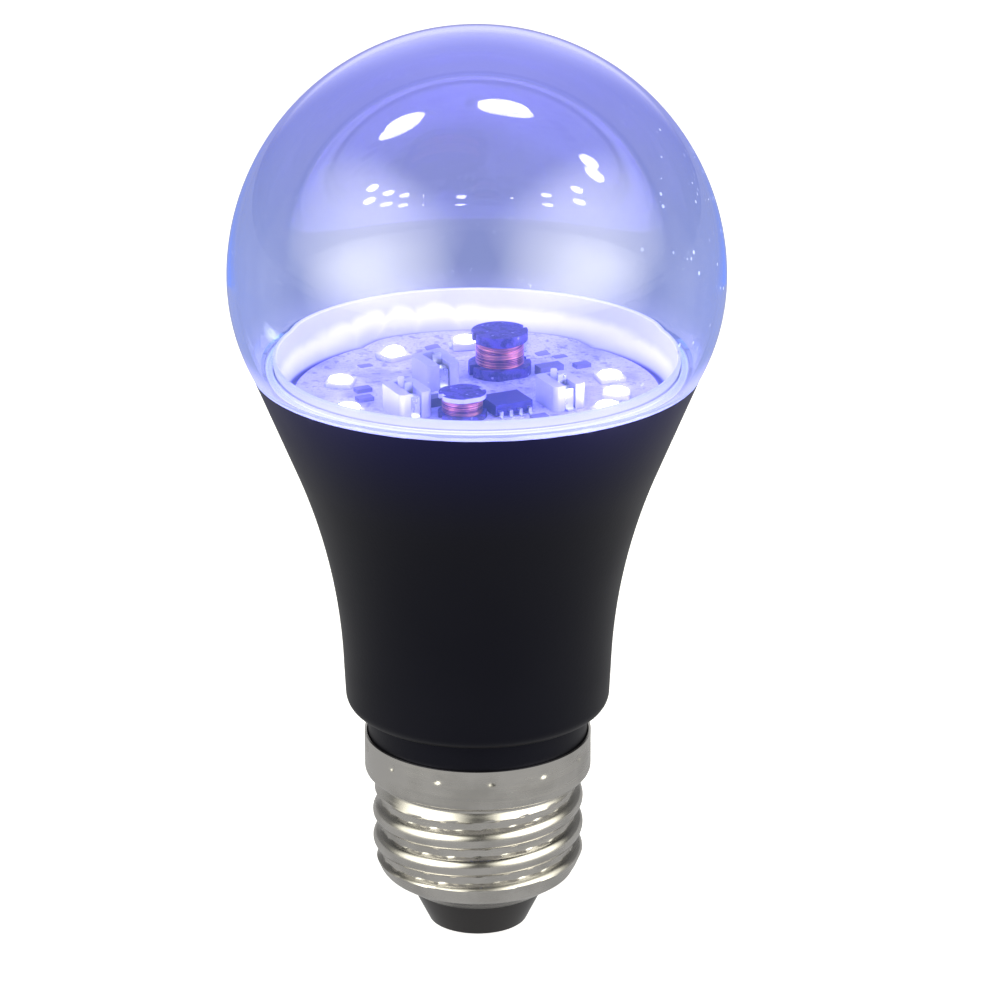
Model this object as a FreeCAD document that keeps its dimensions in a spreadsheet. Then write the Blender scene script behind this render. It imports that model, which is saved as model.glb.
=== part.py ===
# Screw-cap black light bulb, in millimetres.
#
# The lamp's axis is Z. The outer face of the centre contact is at Z = 0 and the
# globe is at the top. From below: a rolled screw cap with its insulator and
# contact, a flared housing, an aluminium dish with the lamp board, and a clear
# globe whose foot stands in a sealed groove behind the housing's rim.

import FreeCAD
import Part
import os
import re
import Sketcher

Vector = FreeCAD.Vector

# Driving dimensions. Lengths are in millimetres and angles in degrees.
SIZES = {
    # Centre contact and its insulator
    "contact_dia": 9.6,
    "contact_flat_dia": 7.0,
    "contact_edge": 0.5,
    "contact_height": 1.0,
    "contact_stem_dia": 1.8,
    "contact_stem_height": 2.0,
    "insulator_foot_dia": 12.4,
    "insulator_height": 4.5,
    "insulator_flange_dia": 22.0,
    "insulator_flange_rise": 0.7,
    "insulator_flange_height": 1.2,
    "insulator_bore_dia": 2.2,
    # Screw cap: a rolled sheet shell with a round Edison thread
    "shell_wall": 0.35,
    "shell_mouth_dia": 17.0,
    "shell_mouth_clearance": 0.1,
    "shell_cone_height": 2.5,
    "thread_minor_dia": 24.3,
    "thread_major_dia": 26.3,
    "thread_pitch": 3.629,
    "thread_width": 2.7,
    "thread_sink": 0.2,
    "thread_fade": 2.4,
    "thread_length": 12.5,
    "thread_trim": 1.0,
    "collar_step": 0.9,
    "collar_height": 5.1,
    "collar_dia": 28.2,
    "crimp_count": 13,
    "crimp_dia": 1.3,
    "crimp_depth": 0.2,
    "crimp_drop": 1.4,
    "cap_turn": 7.0,
    # Housing: a moulded cup that flares from the cap's neck to the globe's rim
    "neck_clearance": 0.1,
    "neck_end_gap": 0.3,
    "neck_wall": 1.8,
    "neck_gap": 3.5,
    "body_bottom_dia": 32.7,
    "body_bottom_round": 1.8,
    "body_height": 43.7,
    "bottom_taper": 2.0,
    "flare_rise": 19.0,
    "flare_reach": 13.4,
    "rim_inset": 2.85,
    "lip_wall": 1.3,
    "groove_depth": 1.4,
    "cavity_start": 6.0,
    "seat_width": 1.9,
    # Globe: a sphere above its widest line, drawn in a little below it
    "globe_dia": 60.0,
    "globe_rise": 11.6,
    "globe_wall": 1.0,
    "foot_clearance": 0.1,
    "foot_wall": 0.75,
    "foot_bed": 0.3,
    "foot_ledge": 0.9,
    "seal_clearance": 0.05,
    "seal_drop": 0.3,
    # Aluminium dish and the lamp board in it
    "dish_wall": 0.5,
    "dish_edge_gap": 0.15,
    "dish_flare": 0.6,
    "dish_rise": 1.9,
    "dish_clearance": 0.1,
    "board_gap": 1.25,
    "board_thickness": 1.0,
    "board_drop": 3.3,
    "layout_turn": 26.0,
    # Lamps: square bases with shallow domed lenses, on one ring
    "led_ring_dia": 34.0,
    "led_side": 3.4,
    "led_base_height": 0.6,
    "led_lens_dia": 2.9,
    "led_lens_height": 0.5,
    "led_1_angle": 95.0,
    "led_2_angle": 128.0,
    "led_3_angle": 170.0,
    "led_4_angle": 205.0,
    "led_5_angle": 239.0,
    "led_6_angle": 284.0,
    "led_7_angle": 320.0,
    "led_8_angle": 337.0,
    "led_9_angle": 355.0,
    "led_10_angle": 16.0,
    "led_11_angle": 75.0,
    # Large choke
    "large_choke_x": 2.8,
    "large_choke_y": 7.8,
    "large_choke_foot_dia": 7.8,
    "large_choke_foot_flat": 7.0,
    "large_choke_foot_height": 1.3,
    "large_choke_top_dia": 7.0,
    "large_choke_top_height": 1.1,
    "large_choke_height": 5.0,
    "large_choke_drum_dia": 3.4,
    "large_choke_wire_dia": 6.0,
    "large_choke_turns": 12,
    # Small choke
    "small_choke_x": -1.75,
    "small_choke_y": -8.3,
    "small_choke_foot_dia": 5.9,
    "small_choke_foot_flat": 5.3,
    "small_choke_foot_height": 0.6,
    "small_choke_top_dia": 5.7,
    "small_choke_top_height": 0.6,
    "small_choke_height": 3.0,
    "small_choke_drum_dia": 2.6,
    "small_choke_wire_dia": 4.9,
    "small_choke_turns": 9,
    # What both chokes share
    "choke_notch_width": 0.9,
    "choke_notch_depth": 0.5,
    "winding_clearance": 0.05,
    "turn_round": 0.55,
    # Driver chip with gull-wing leads
    "chip_x": 3.5,
    "chip_y": -6.3,
    "chip_length": 4.9,
    "chip_width": 4.2,
    "chip_height": 1.4,
    "chip_lift": 0.15,
    "chip_lead_count": 4,
    "chip_lead_pitch": 1.27,
    "chip_lead_width": 0.42,
    "chip_lead_thickness": 0.2,
    "chip_lead_reach": 1.05,
    "chip_lead_foot": 0.5,
    # Wire terminals: an open-topped block, and a bent clip in its channel
    "terminal_width": 4.3,
    "terminal_depth": 5.5,
    "terminal_height": 3.2,
    "terminal_round": 0.7,
    "terminal_floor": 1.0,
    "terminal_back_wall": 0.5,
    "terminal_notch": 0.7,
    "channel_width": 1.4,
    "clip_clearance": 0.15,
    "clip_thickness": 0.3,
    "clip_rise": 2.7,
    "clip_roof": 1.2,
    "clip_tongue": 1.0,
    "clip_tab_height": 3.9,
    "clip_foot": 0.8,
    "wire_place": 1.6,
    "right_terminal_x": 9.95,
    "right_terminal_y": -4.15,
    "front_left_terminal_x": -8.4,
    "front_left_terminal_y": -7.0,
    "back_left_terminal_x": -5.1,
    "back_left_terminal_y": 3.6,
    # Small parts on the board
    "diode_length": 2.6,
    "diode_width": 1.6,
    "diode_height": 1.1,
    "diode_x": -4.9,
    "diode_y": -4.4,
    "capacitor_length": 3.2,
    "capacitor_width": 1.7,
    "capacitor_height": 1.2,
    "capacitor_x": 8.9,
    "capacitor_y": 7.0,
    "resistor_length": 2.0,
    "resistor_width": 1.25,
    "resistor_height": 0.5,
    "resistor_1_x": 7.4,
    "resistor_1_y": -9.7,
    "resistor_2_inset": 3.1,
    "resistor_2_y": 0.4,
    "resistor_3_inset": 3.4,
    "resistor_3_y": -2.9,
    "resistor_4_x": 13.0,
    "resistor_4_y": 9.6,
    # Wires from the cap to the terminals
    "wire_dia": 0.8,
    "wire_hole_clearance": 0.2,
    "wire_tip": 3.9,
    "wire_bend": 8.0,
    "wire_low": 14.0,
    "wire_high": 16.0,
    "neutral_bend": 2.5,
    "neutral_inset": 2.6,
    "neutral_drop": 0.7,
    "neutral_touch": 0.05,
}

# Lengths and levels that follow from the driving dimensions.
FOLLOWS = {
    # Levels along the axis
    "mouth_level": "contact_height + insulator_height",
    "thread_low": "mouth_level + shell_cone_height",
    "thread_high": "thread_low + thread_length",
    "collar_low": "thread_high + collar_step",
    "cap_rim": "collar_low + collar_height",
    "neck_low": "collar_low + neck_end_gap",
    "body_low": "cap_rim + neck_gap",
    "rim_level": "body_low + body_height",
    "groove_level": "rim_level - groove_depth",
    "foot_level": "groove_level + foot_bed",
    "ledge_level": "rim_level + foot_ledge",
    "seal_level": "ledge_level - seal_drop",
    "globe_level": "rim_level + globe_rise",
    "board_top": "rim_level - board_drop",
    "board_low": "board_top - board_thickness",
    "dish_low": "board_low - dish_wall",
    "dish_top": "rim_level + dish_rise",
    # Radii
    "minor": "thread_minor_dia / 2",
    "major": "thread_major_dia / 2",
    "shell_bore": "minor - shell_wall",
    "collar": "collar_dia / 2",
    "collar_bore": "collar - shell_wall",
    "mouth": "shell_mouth_dia / 2",
    "neck": "collar_bore - neck_clearance",
    "neck_bore": "neck - neck_wall",
    "bottom": "body_bottom_dia / 2",
    "globe": "globe_dia / 2",
    "rim": "globe - rim_inset",
    "lip_bore": "rim - lip_wall",
    "foot_outer": "lip_bore - foot_clearance",
    "foot_bore": "foot_outer - foot_wall",
    "globe_inner": "globe - globe_wall",
    "dish_edge": "foot_bore - dish_edge_gap",
    "dish_mouth": "dish_edge - dish_wall",
    "dish_floor": "dish_mouth - dish_flare",
    "dish_foot": "dish_floor + dish_wall",
    "board": "dish_floor - board_gap",
    # The flare: two straight lines with one arc tangent to both
    "flare_corner": "bottom + flare_rise * tan(bottom_taper)",
    "rim_slope": "atan((rim - flare_corner) / (body_height - flare_rise)) / 1 deg",
    "flare_radius": "flare_reach / tan((rim_slope - bottom_taper) / 2)",
    # The globe below its widest line: an arc that is upright there and meets the rim
    "draw_radius": "(rim_inset^2 + globe_rise^2) / (2 * rim_inset)",
    "draw_centre": "globe - draw_radius",
    "ledge_edge": "draw_centre + sqrt((draw_radius - globe_wall)^2 - (globe_rise - foot_ledge)^2)",
    # The dish's outer wall at the groove and at the top of the seal
    "dish_lean": "(dish_edge - dish_foot) / (dish_top - dish_low)",
    "dish_at_groove": "dish_foot + dish_lean * (groove_level - dish_low)",
    "dish_at_seal": "dish_foot + dish_lean * (seal_level - dish_low)",
    "seat_edge": "dish_foot - seat_width",
    # Thread crest: one round arc over its width
    "crest_height": "major - minor + thread_sink",
    "crest_radius": "((thread_width / 2)^2 + crest_height^2) / (2 * crest_height)",
    # How far one turn of wire stands out, as a share of its height
    "turn_sag": "turn_round - sqrt(turn_round^2 - 0.25)",
    # The two resistors beside the ring of lamps
    "resistor_2_x": "resistor_2_inset - led_ring_dia / 2",
    "resistor_3_x": "resistor_3_inset - led_ring_dia / 2",
    # Wire holes through the board, the dish and the terminals
    "wire_hole_dia": "wire_dia + 2 * wire_hole_clearance",
    "live_x": "right_terminal_x - wire_place * sin(layout_turn)",
    "live_y": "right_terminal_y + wire_place * cos(layout_turn)",
    "neutral_x": "front_left_terminal_x - wire_place * sin(layout_turn)",
    "neutral_y": "front_left_terminal_y + wire_place * cos(layout_turn)",
    "live_reach": "hypot(live_x; live_y)",
    "neutral_reach": "hypot(neutral_x; neutral_y)",
    "live_foot": "contact_height + contact_stem_height",
    "wire_top": "board_top + wire_tip",
}

doc = FreeCAD.newDocument("black_light_bulb")
sheet = doc.addObject("Spreadsheet::Sheet", "sizes")
for row, (alias, number) in enumerate(SIZES.items(), start=1):
    sheet.set(f"A{row}", alias)
    sheet.set(f"B{row}", str(number))
    sheet.setAlias(f"B{row}", alias)
doc.recompute()


def cells(formula):
    """Write a formula with every name replaced by the sheet cells behind it."""

    def replace(match):
        word = match.group()
        if word in SIZES:
            return "sizes." + word
        if word in FOLLOWS:
            return "(" + cells(FOLLOWS[word]) + ")"
        return word

    return re.sub(r"[a-z][a-z0-9_]*", replace, formula)


def value(formula):
    """The number that a formula gives with the sheet as it is."""
    result = sheet.evalExpression(cells(formula))
    return float(getattr(result, "Value", result))


def new_body(label):
    """An empty body whose label names the piece."""
    body = doc.addObject("PartDesign::Body", label)
    body.Label = label
    return body


def new_sketch(body, name, plane, lift=None):
    """A sketch on one of the body's own origin planes, lifted along its normal."""
    sketch = body.newObject("Sketcher::SketchObject", name)
    planes = [item for item in body.Origin.OriginFeatures if item.Role == plane]
    sketch.AttachmentSupport = [(planes[0], "")]
    sketch.MapMode = "FlatFace"
    if lift is not None:
        sketch.setExpression("AttachmentOffset.Base.z", cells(lift))
    return sketch


def hold(sketch, kind, shape, place, formula, name):
    """Fix one coordinate of a point from the origin, with the sheet behind it."""
    number = value(formula)
    axis = -2 if kind == "DistanceX" else -1
    if abs(number) < 1e-9:
        sketch.addConstraint(Sketcher.Constraint("PointOnObject", shape, place, axis))
        return
    if number > 0:
        rule = Sketcher.Constraint(kind, -1, 1, shape, place, number)
        text = formula
    else:
        rule = Sketcher.Constraint(kind, shape, place, -1, 1, -number)
        text = f"-({formula})"
    index = sketch.addConstraint(rule)
    sketch.renameConstraint(index, name)
    sketch.setExpression("Constraints." + name, cells(text))


def draw(sketch, corners, arcs=None, closed=True, tag="p"):
    """Draw a chain of lines and arcs through corners given as pairs of formulas.

    An entry of arcs gives an edge's radius and the side of travel, left or
    right, on which its centre lies.
    """
    arcs = arcs or {}
    points = [Vector(value(x), value(y), 0) for x, y in corners]
    count = len(points) if closed else len(points) - 1
    ends = []
    for edge in range(count):
        start = points[edge]
        finish = points[(edge + 1) % len(points)]
        if edge not in arcs:
            shape = sketch.addGeometry(Part.LineSegment(start, finish), False)
            ends.append((shape, 1, 2))
            continue
        radius, side = arcs[edge]
        length = value(radius)
        chord = finish - start
        across = Vector(-chord.y, chord.x, 0).normalize()
        reach = max(length**2 - (chord.Length / 2) ** 2, 0) ** 0.5
        centre = (start + finish) * 0.5 + across * (reach if side == "left" else -reach)
        first, last = (start, finish) if side == "left" else (finish, start)
        circle = Part.Circle(centre, Vector(0, 0, 1), length)
        arc = Part.ArcOfCircle(circle, circle.parameter(first), circle.parameter(last))
        shape = sketch.addGeometry(arc, False)
        ends.append((shape, 1, 2) if side == "left" else (shape, 2, 1))
        index = sketch.addConstraint(Sketcher.Constraint("Radius", shape, length))
        sketch.renameConstraint(index, f"{tag}_radius_{edge}")
        sketch.setExpression(f"Constraints.{tag}_radius_{edge}", cells(radius))
    for edge in range(count):
        follower = (edge + 1) % count
        if closed or edge + 1 < count:
            rule = Sketcher.Constraint("Coincident", ends[edge][0], ends[edge][2], ends[follower][0], ends[follower][1])
            sketch.addConstraint(rule)
    for corner, (x, y) in enumerate(corners):
        shape, place = (ends[corner][0], ends[corner][1]) if corner < count else (ends[-1][0], ends[-1][2])
        hold(sketch, "DistanceX", shape, place, x, f"{tag}_x_{corner}")
        hold(sketch, "DistanceY", shape, place, y, f"{tag}_y_{corner}")


def draw_circle(sketch, x, y, diameter, tag="c"):
    """Draw a circle from formulas for its centre and diameter."""
    centre = Vector(value(x), value(y), 0)
    shape = sketch.addGeometry(Part.Circle(centre, Vector(0, 0, 1), value(diameter) / 2), False)
    hold(sketch, "DistanceX", shape, 3, x, tag + "_x")
    hold(sketch, "DistanceY", shape, 3, y, tag + "_y")
    index = sketch.addConstraint(Sketcher.Constraint("Diameter", shape, value(diameter)))
    sketch.renameConstraint(index, tag + "_dia")
    sketch.setExpression(f"Constraints.{tag}_dia", cells(diameter))


def box_corners(half_x, half_y):
    """Corner formulas of a rectangle about the origin."""
    return [
        (f"-({half_x})", f"-({half_y})"),
        (half_x, f"-({half_y})"),
        (half_x, half_y),
        (f"-({half_x})", half_y),
    ]


def turn_solid(body, name, corners, arcs=None, kind="PartDesign::Revolution"):
    """Revolve a section in the XZ plane about the axis, to add or to cut."""
    sketch = new_sketch(body, name + "_section", "XZ_Plane")
    draw(sketch, corners, arcs)
    feature = body.newObject(kind, name)
    feature.Profile = sketch
    feature.ReferenceAxis = (sketch, ["V_Axis"])
    feature.Angle = 360
    doc.recompute()
    return feature


def turned(label, corners, arcs=None):
    """A body that is one revolved section."""
    body = new_body(label)
    turn_solid(body, label + "_turn", corners, arcs)
    return body


def pad(body, name, corners, height, plane="XY_Plane", lift=None, arcs=None, both_ways=False):
    """Pad a closed outline by a formula's length."""
    sketch = new_sketch(body, name + "_outline", plane, lift)
    draw(sketch, corners, arcs)
    feature = body.newObject("PartDesign::Pad", name)
    feature.Profile = sketch
    if both_ways:
        feature.Midplane = True
    feature.setExpression("Length", cells(height))
    doc.recompute()
    return feature


def cut(body, name, sketch, depth, through=False):
    """Pocket a finished sketch and make sure that it removes material."""
    doc.recompute()
    before = body.Shape.Volume
    feature = body.newObject("PartDesign::Pocket", name)
    feature.Profile = sketch
    if through:
        feature.Type = "ThroughAll"
        feature.Midplane = True
    else:
        feature.setExpression("Length", cells(depth))
    doc.recompute()
    if body.Shape.Volume >= before - 1e-6:
        raise RuntimeError(f"{name} removes nothing from {body.Label}")
    return feature


def place(body, x, y, z, turn):
    """Put a piece on the board, turned about its own upright axis."""
    body.Placement = FreeCAD.Placement(Vector(0, 0, 0), FreeCAD.Rotation(Vector(0, 0, 1), value(turn)))
    body.setExpression("Placement.Base.x", cells(x))
    body.setExpression("Placement.Base.y", cells(y))
    body.setExpression("Placement.Base.z", cells(z))
    body.setExpression("Placement.Rotation.Angle", cells(turn))


def axis_of(body, role):
    """One of the body's own origin axes, as a link for a pattern."""
    axes = [item for item in body.Origin.OriginFeatures if item.Role == role]
    return (axes[0], [""])


# Cap


def make_cap_shell():
    """Rolled shell: a helical thread that fades out at both ends, then the thin wall."""
    body = new_body("cap_shell")
    crest = new_sketch(body, "thread_crest", "XZ_Plane")
    start = "thread_low - thread_width / 2"
    draw(
        crest,
        [
            ("minor - thread_sink", f"{start} - thread_width / 2"),
            ("minor - thread_sink", f"{start} + thread_width / 2"),
        ],
        closed=False,
    )
    low, high = crest.Geometry[0].StartPoint, crest.Geometry[0].EndPoint
    radius = value("crest_radius")
    centre = Vector(value("major") - radius, value(start), 0)
    circle = Part.Circle(centre, Vector(0, 0, 1), radius)
    arc = crest.addGeometry(Part.ArcOfCircle(circle, circle.parameter(low), circle.parameter(high)), False)
    crest.addConstraint(Sketcher.Constraint("Coincident", arc, 1, 0, 1))
    crest.addConstraint(Sketcher.Constraint("Coincident", arc, 2, 0, 2))
    index = crest.addConstraint(Sketcher.Constraint("Radius", arc, radius))
    crest.renameConstraint(index, "crest_radius")
    crest.setExpression("Constraints.crest_radius", cells("crest_radius"))
    doc.recompute()

    thread = body.newObject("PartDesign::AdditiveHelix", "thread")
    thread.Profile = crest
    thread.ReferenceAxis = (crest, ["V_Axis"])
    thread.Mode = "pitch-height-angle"
    thread.setExpression("Pitch", cells("thread_pitch"))
    thread.setExpression("Height", cells("thread_length + thread_width"))
    doc.recompute()

    clear = "major + thread_trim"
    root = "minor - thread_trim"
    turn_solid(
        body,
        "thread_top_fade",
        [
            (root, "thread_high"),
            ("minor", "thread_high"),
            (clear, f"thread_high - thread_fade * (major + thread_trim - minor) / (major - minor)"),
            (clear, "thread_high + 2 * thread_width"),
            (root, "thread_high + 2 * thread_width"),
        ],
        kind="PartDesign::Groove",
    )
    turn_solid(
        body,
        "thread_bottom_fade",
        [
            (root, "thread_low"),
            (root, "thread_low - 2 * thread_width"),
            (clear, "thread_low - 2 * thread_width"),
            (clear, f"thread_low + thread_fade * (major + thread_trim - minor) / (major - minor)"),
            ("minor", "thread_low"),
        ],
        kind="PartDesign::Groove",
    )
    turn_solid(
        body,
        "shell_wall_turn",
        [
            ("mouth", "mouth_level"),
            ("minor", "thread_low"),
            ("minor", "thread_high"),
            ("collar", "collar_low"),
            ("collar", "cap_rim"),
            ("collar_bore", "cap_rim"),
            ("collar_bore", "collar_low + shell_wall / 2"),
            ("shell_bore", "thread_high + shell_wall / 2"),
            ("shell_bore", "thread_low + shell_wall / 2"),
            ("mouth", "mouth_level + shell_wall"),
        ],
    )
    dent = new_sketch(body, "crimp_outline", "XZ_Plane", "collar")
    draw_circle(dent, "0", "cap_rim - crimp_drop", "crimp_dia")
    crimp = cut(body, "crimp", dent, "crimp_depth")
    ring = body.newObject("PartDesign::PolarPattern", "crimp_ring")
    ring.Originals = [crimp]
    ring.Axis = axis_of(body, "Z_Axis")
    ring.Angle = 360
    ring.setExpression("Occurrences", cells("crimp_count"))
    body.Tip = ring
    doc.recompute()
    place(body, "0", "0", "0", "cap_turn")


def make_cap_insulator():
    """Insulator: a cone below the shell, and a flange that sits inside it."""
    throat = "mouth - shell_mouth_clearance"
    flange = "insulator_flange_dia / 2"
    seat = f"mouth_level + shell_wall + insulator_flange_rise"
    lean = "shell_cone_height / (minor - mouth)"
    turned(
        "cap_insulator",
        [
            ("insulator_bore_dia / 2", "contact_height"),
            ("insulator_foot_dia / 2", "contact_height"),
            (throat, "mouth_level"),
            (throat, seat),
            (flange, f"{seat} + ({flange} - mouth + shell_mouth_clearance) * {lean}"),
            (flange, f"{seat} + ({flange} - mouth) * {lean} + insulator_flange_height"),
            ("insulator_bore_dia / 2", f"{seat} + ({flange} - mouth) * {lean} + insulator_flange_height"),
        ],
    )


def make_centre_contact():
    """Contact: a flat-faced button with a stem that the live wire is joined to."""
    turned(
        "centre_contact",
        [
            ("0", "0"),
            ("contact_flat_dia / 2", "0"),
            ("contact_dia / 2", "contact_edge"),
            ("contact_dia / 2", "contact_height"),
            ("contact_stem_dia / 2", "contact_height"),
            ("contact_stem_dia / 2", "live_foot"),
            ("0", "live_foot"),
        ],
    )


# Housing, globe and seal


def make_housing():
    """Housing: neck, flared wall, globe groove, dish seat and a conical cavity."""
    turned(
        "housing",
        [
            ("neck_bore", "neck_low"),
            ("neck", "neck_low"),
            ("neck", "body_low"),
            ("bottom - body_bottom_round", "body_low"),
            ("bottom + body_bottom_round * tan(bottom_taper)", "body_low + body_bottom_round"),
            (
                "flare_corner - flare_reach * sin(bottom_taper)",
                "body_low + flare_rise - flare_reach * cos(bottom_taper)",
            ),
            (
                "flare_corner + flare_reach * sin(rim_slope)",
                "body_low + flare_rise + flare_reach * cos(rim_slope)",
            ),
            ("rim", "rim_level"),
            ("lip_bore", "rim_level"),
            ("lip_bore", "groove_level"),
            ("dish_at_groove + dish_clearance", "groove_level"),
            ("dish_foot + dish_clearance", "dish_low"),
            ("seat_edge", "dish_low"),
            ("neck_bore", "body_low + cavity_start"),
        ],
        arcs={3: ("body_bottom_round", "left"), 5: ("flare_radius", "right")},
    )


def make_globe():
    """Globe: one blown wall with a rebated foot for the housing's groove."""
    turned(
        "globe",
        [
            ("0", "globe_level + globe_inner"),
            ("globe_inner", "globe_level"),
            ("ledge_edge", "ledge_level"),
            ("foot_bore", "ledge_level"),
            ("foot_bore", "foot_level"),
            ("foot_outer", "foot_level"),
            ("foot_outer", "rim_level"),
            ("rim", "rim_level"),
            ("globe", "globe_level"),
            ("0", "globe_level + globe"),
        ],
        arcs={
            0: ("globe_inner", "right"),
            1: ("draw_radius - globe_wall", "right"),
            7: ("draw_radius", "left"),
            8: ("globe", "left"),
        },
    )


def make_globe_seal():
    """Seal: a bead of silicone under the globe's foot and between foot and dish."""
    turned(
        "globe_seal",
        [
            ("dish_at_groove + dish_clearance", "groove_level"),
            ("lip_bore - seal_clearance", "groove_level"),
            ("lip_bore - seal_clearance", "foot_level"),
            ("foot_bore - seal_clearance", "foot_level"),
            ("foot_bore - seal_clearance", "seal_level"),
            ("dish_at_seal + dish_clearance", "seal_level"),
        ],
    )


def drill_wire_holes(body, name, level, diameter):
    """Two holes through a plate, over the places where the wires come up."""
    holes = new_sketch(body, name + "_outline", "XY_Plane", level)
    draw_circle(holes, "live_x", "live_y", diameter, "live")
    draw_circle(holes, "neutral_x", "neutral_y", diameter, "neutral")
    cut(body, name, holes, None, through=True)


def make_dish():
    """Dish: spun aluminium that carries the board, with its edge inside the globe."""
    body = turned(
        "heat_sink_dish",
        [
            ("0", "dish_low"),
            ("dish_foot", "dish_low"),
            ("dish_edge", "dish_top"),
            ("dish_mouth", "dish_top"),
            ("dish_floor", "board_low"),
            ("0", "board_low"),
        ],
    )
    drill_wire_holes(body, "dish_wire_holes", "dish_low", "wire_hole_dia")


# Lamp board


def make_board():
    """Board: a round plate on the dish's floor."""
    body = new_body("led_board")
    sketch = new_sketch(body, "board_outline", "XY_Plane", "board_low")
    draw_circle(sketch, "0", "0", "2 * board", "edge")
    plate = body.newObject("PartDesign::Pad", "board_plate")
    plate.Profile = sketch
    plate.setExpression("Length", cells("board_thickness"))
    doc.recompute()
    drill_wire_holes(body, "board_wire_holes", "board_low", "wire_hole_dia")


def make_led(number):
    """Lamp: a square base with a domed lens, at its own angle on the ring."""
    label = f"led_{number}"
    angle = f"led_{number}_angle"
    body = new_body(label)
    pad(body, label + "_base", box_corners("led_side / 2", "led_side / 2"), "led_base_height")
    lens = "led_lens_dia / 2"
    turn_solid(
        body,
        label + "_lens",
        [
            ("0", "led_base_height"),
            (lens, "led_base_height"),
            ("0", "led_base_height + led_lens_height"),
        ],
        arcs={1: (f"(({lens})^2 + led_lens_height^2) / (2 * led_lens_height)", "left")},
    )
    place(
        body,
        f"led_ring_dia / 2 * cos({angle})",
        f"led_ring_dia / 2 * sin({angle})",
        "board_top",
        angle,
    )


def make_choke(name):
    """Choke: a notched ferrite drum, and the turns of copper between its flanges."""
    foot = f"{name}_foot_dia / 2"
    top = f"{name}_top_dia / 2"
    drum = f"{name}_drum_dia / 2"
    shelf = f"{name}_foot_height"
    roof = f"{name}_height - {name}_top_height"
    core = turned(
        name + "_core",
        [
            ("0", "0"),
            (foot, "0"),
            (foot, shelf),
            (drum, shelf),
            (drum, roof),
            (top, roof),
            (top, f"{name}_height"),
            ("0", f"{name}_height"),
        ],
    )
    sides = new_sketch(core, name + "_flat_outline", "XY_Plane")
    flat = f"{name}_foot_flat / 2"
    for side, tag in (("", "front"), ("-", "back")):
        draw(
            sides,
            [
                (f"-({name}_foot_dia)", f"{side}({flat})"),
                (f"{name}_foot_dia", f"{side}({flat})"),
                (f"{name}_foot_dia", f"{side}({name}_foot_dia)"),
                (f"-({name}_foot_dia)", f"{side}({name}_foot_dia)"),
            ],
            tag=tag,
        )
    flats = cut(core, name + "_flats", sides, None, through=True)
    notch = new_sketch(core, name + "_notch_outline", "XY_Plane")
    half = "choke_notch_width / 2"
    for side, tag in (("", "right"), ("-", "left")):
        draw(
            notch,
            [
                (f"{side}({top} - choke_notch_depth)", f"-({half})"),
                (f"{side}({name}_foot_dia)", f"-({half})"),
                (f"{side}({name}_foot_dia)", half),
                (f"{side}({top} - choke_notch_depth)", half),
            ],
            tag=tag,
        )
    cut(core, name + "_notches", notch, None, through=True)
    place(core, name + "_x", name + "_y", "board_top", "layout_turn")
    low = f"{shelf} + winding_clearance"
    rise = f"({roof} - {shelf} - 2 * winding_clearance) / {name}_turns"
    turns = round(value(f"{name}_turns"))
    valley = f"{name}_wire_dia / 2 - turn_sag * {rise}"
    winding = turned(
        name + "_winding",
        [(f"{drum} + winding_clearance", low)]
        + [(valley, f"{low} + {turn} * {rise}") for turn in range(turns + 1)]
        + [(f"{drum} + winding_clearance", f"{low} + {turns} * {rise}")],
        arcs={turn: (f"turn_round * {rise}", "left") for turn in range(1, turns + 1)},
    )
    place(winding, name + "_x", name + "_y", "board_top", "layout_turn")


def make_chip():
    """Driver chip: a moulded body with a row of gull-wing leads on two sides."""
    body = new_body("driver_chip")
    half = "chip_width / 2"
    middle = "chip_lift + chip_height / 2"
    pad(body, "chip_mould", box_corners("chip_length / 2", half), "chip_height", lift="chip_lift")
    leads = new_sketch(
        body, "chip_lead_outline", "YZ_Plane", "-(chip_lead_pitch * (chip_lead_count - 1) / 2)"
    )
    knee = f"{half} + chip_lead_reach - chip_lead_foot"
    for side, tag in (("", "back"), ("-", "front")):
        draw(
            leads,
            [
                (f"{side}({half} - chip_lead_thickness)", f"{middle} - chip_lead_thickness"),
                (f"{side}({knee} - chip_lead_thickness)", f"{middle} - chip_lead_thickness"),
                (f"{side}({knee} - chip_lead_thickness)", "0"),
                (f"{side}({half} + chip_lead_reach)", "0"),
                (f"{side}({half} + chip_lead_reach)", "chip_lead_thickness"),
                (f"{side}({knee})", "chip_lead_thickness"),
                (f"{side}({knee})", middle),
                (f"{side}({half} - chip_lead_thickness)", middle),
            ],
            tag=tag,
        )
    pair = body.newObject("PartDesign::Pad", "chip_lead_pair")
    pair.Profile = leads
    pair.Midplane = True
    pair.setExpression("Length", cells("chip_lead_width"))
    doc.recompute()
    row = body.newObject("PartDesign::LinearPattern", "chip_lead_row")
    row.Originals = [pair]
    row.Direction = axis_of(body, "X_Axis")
    row.setExpression("Length", cells("chip_lead_pitch * (chip_lead_count - 1)"))
    row.setExpression("Occurrences", cells("chip_lead_count"))
    body.Tip = row
    doc.recompute()
    place(body, "chip_x", "chip_y", "board_top", "layout_turn")


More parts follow.
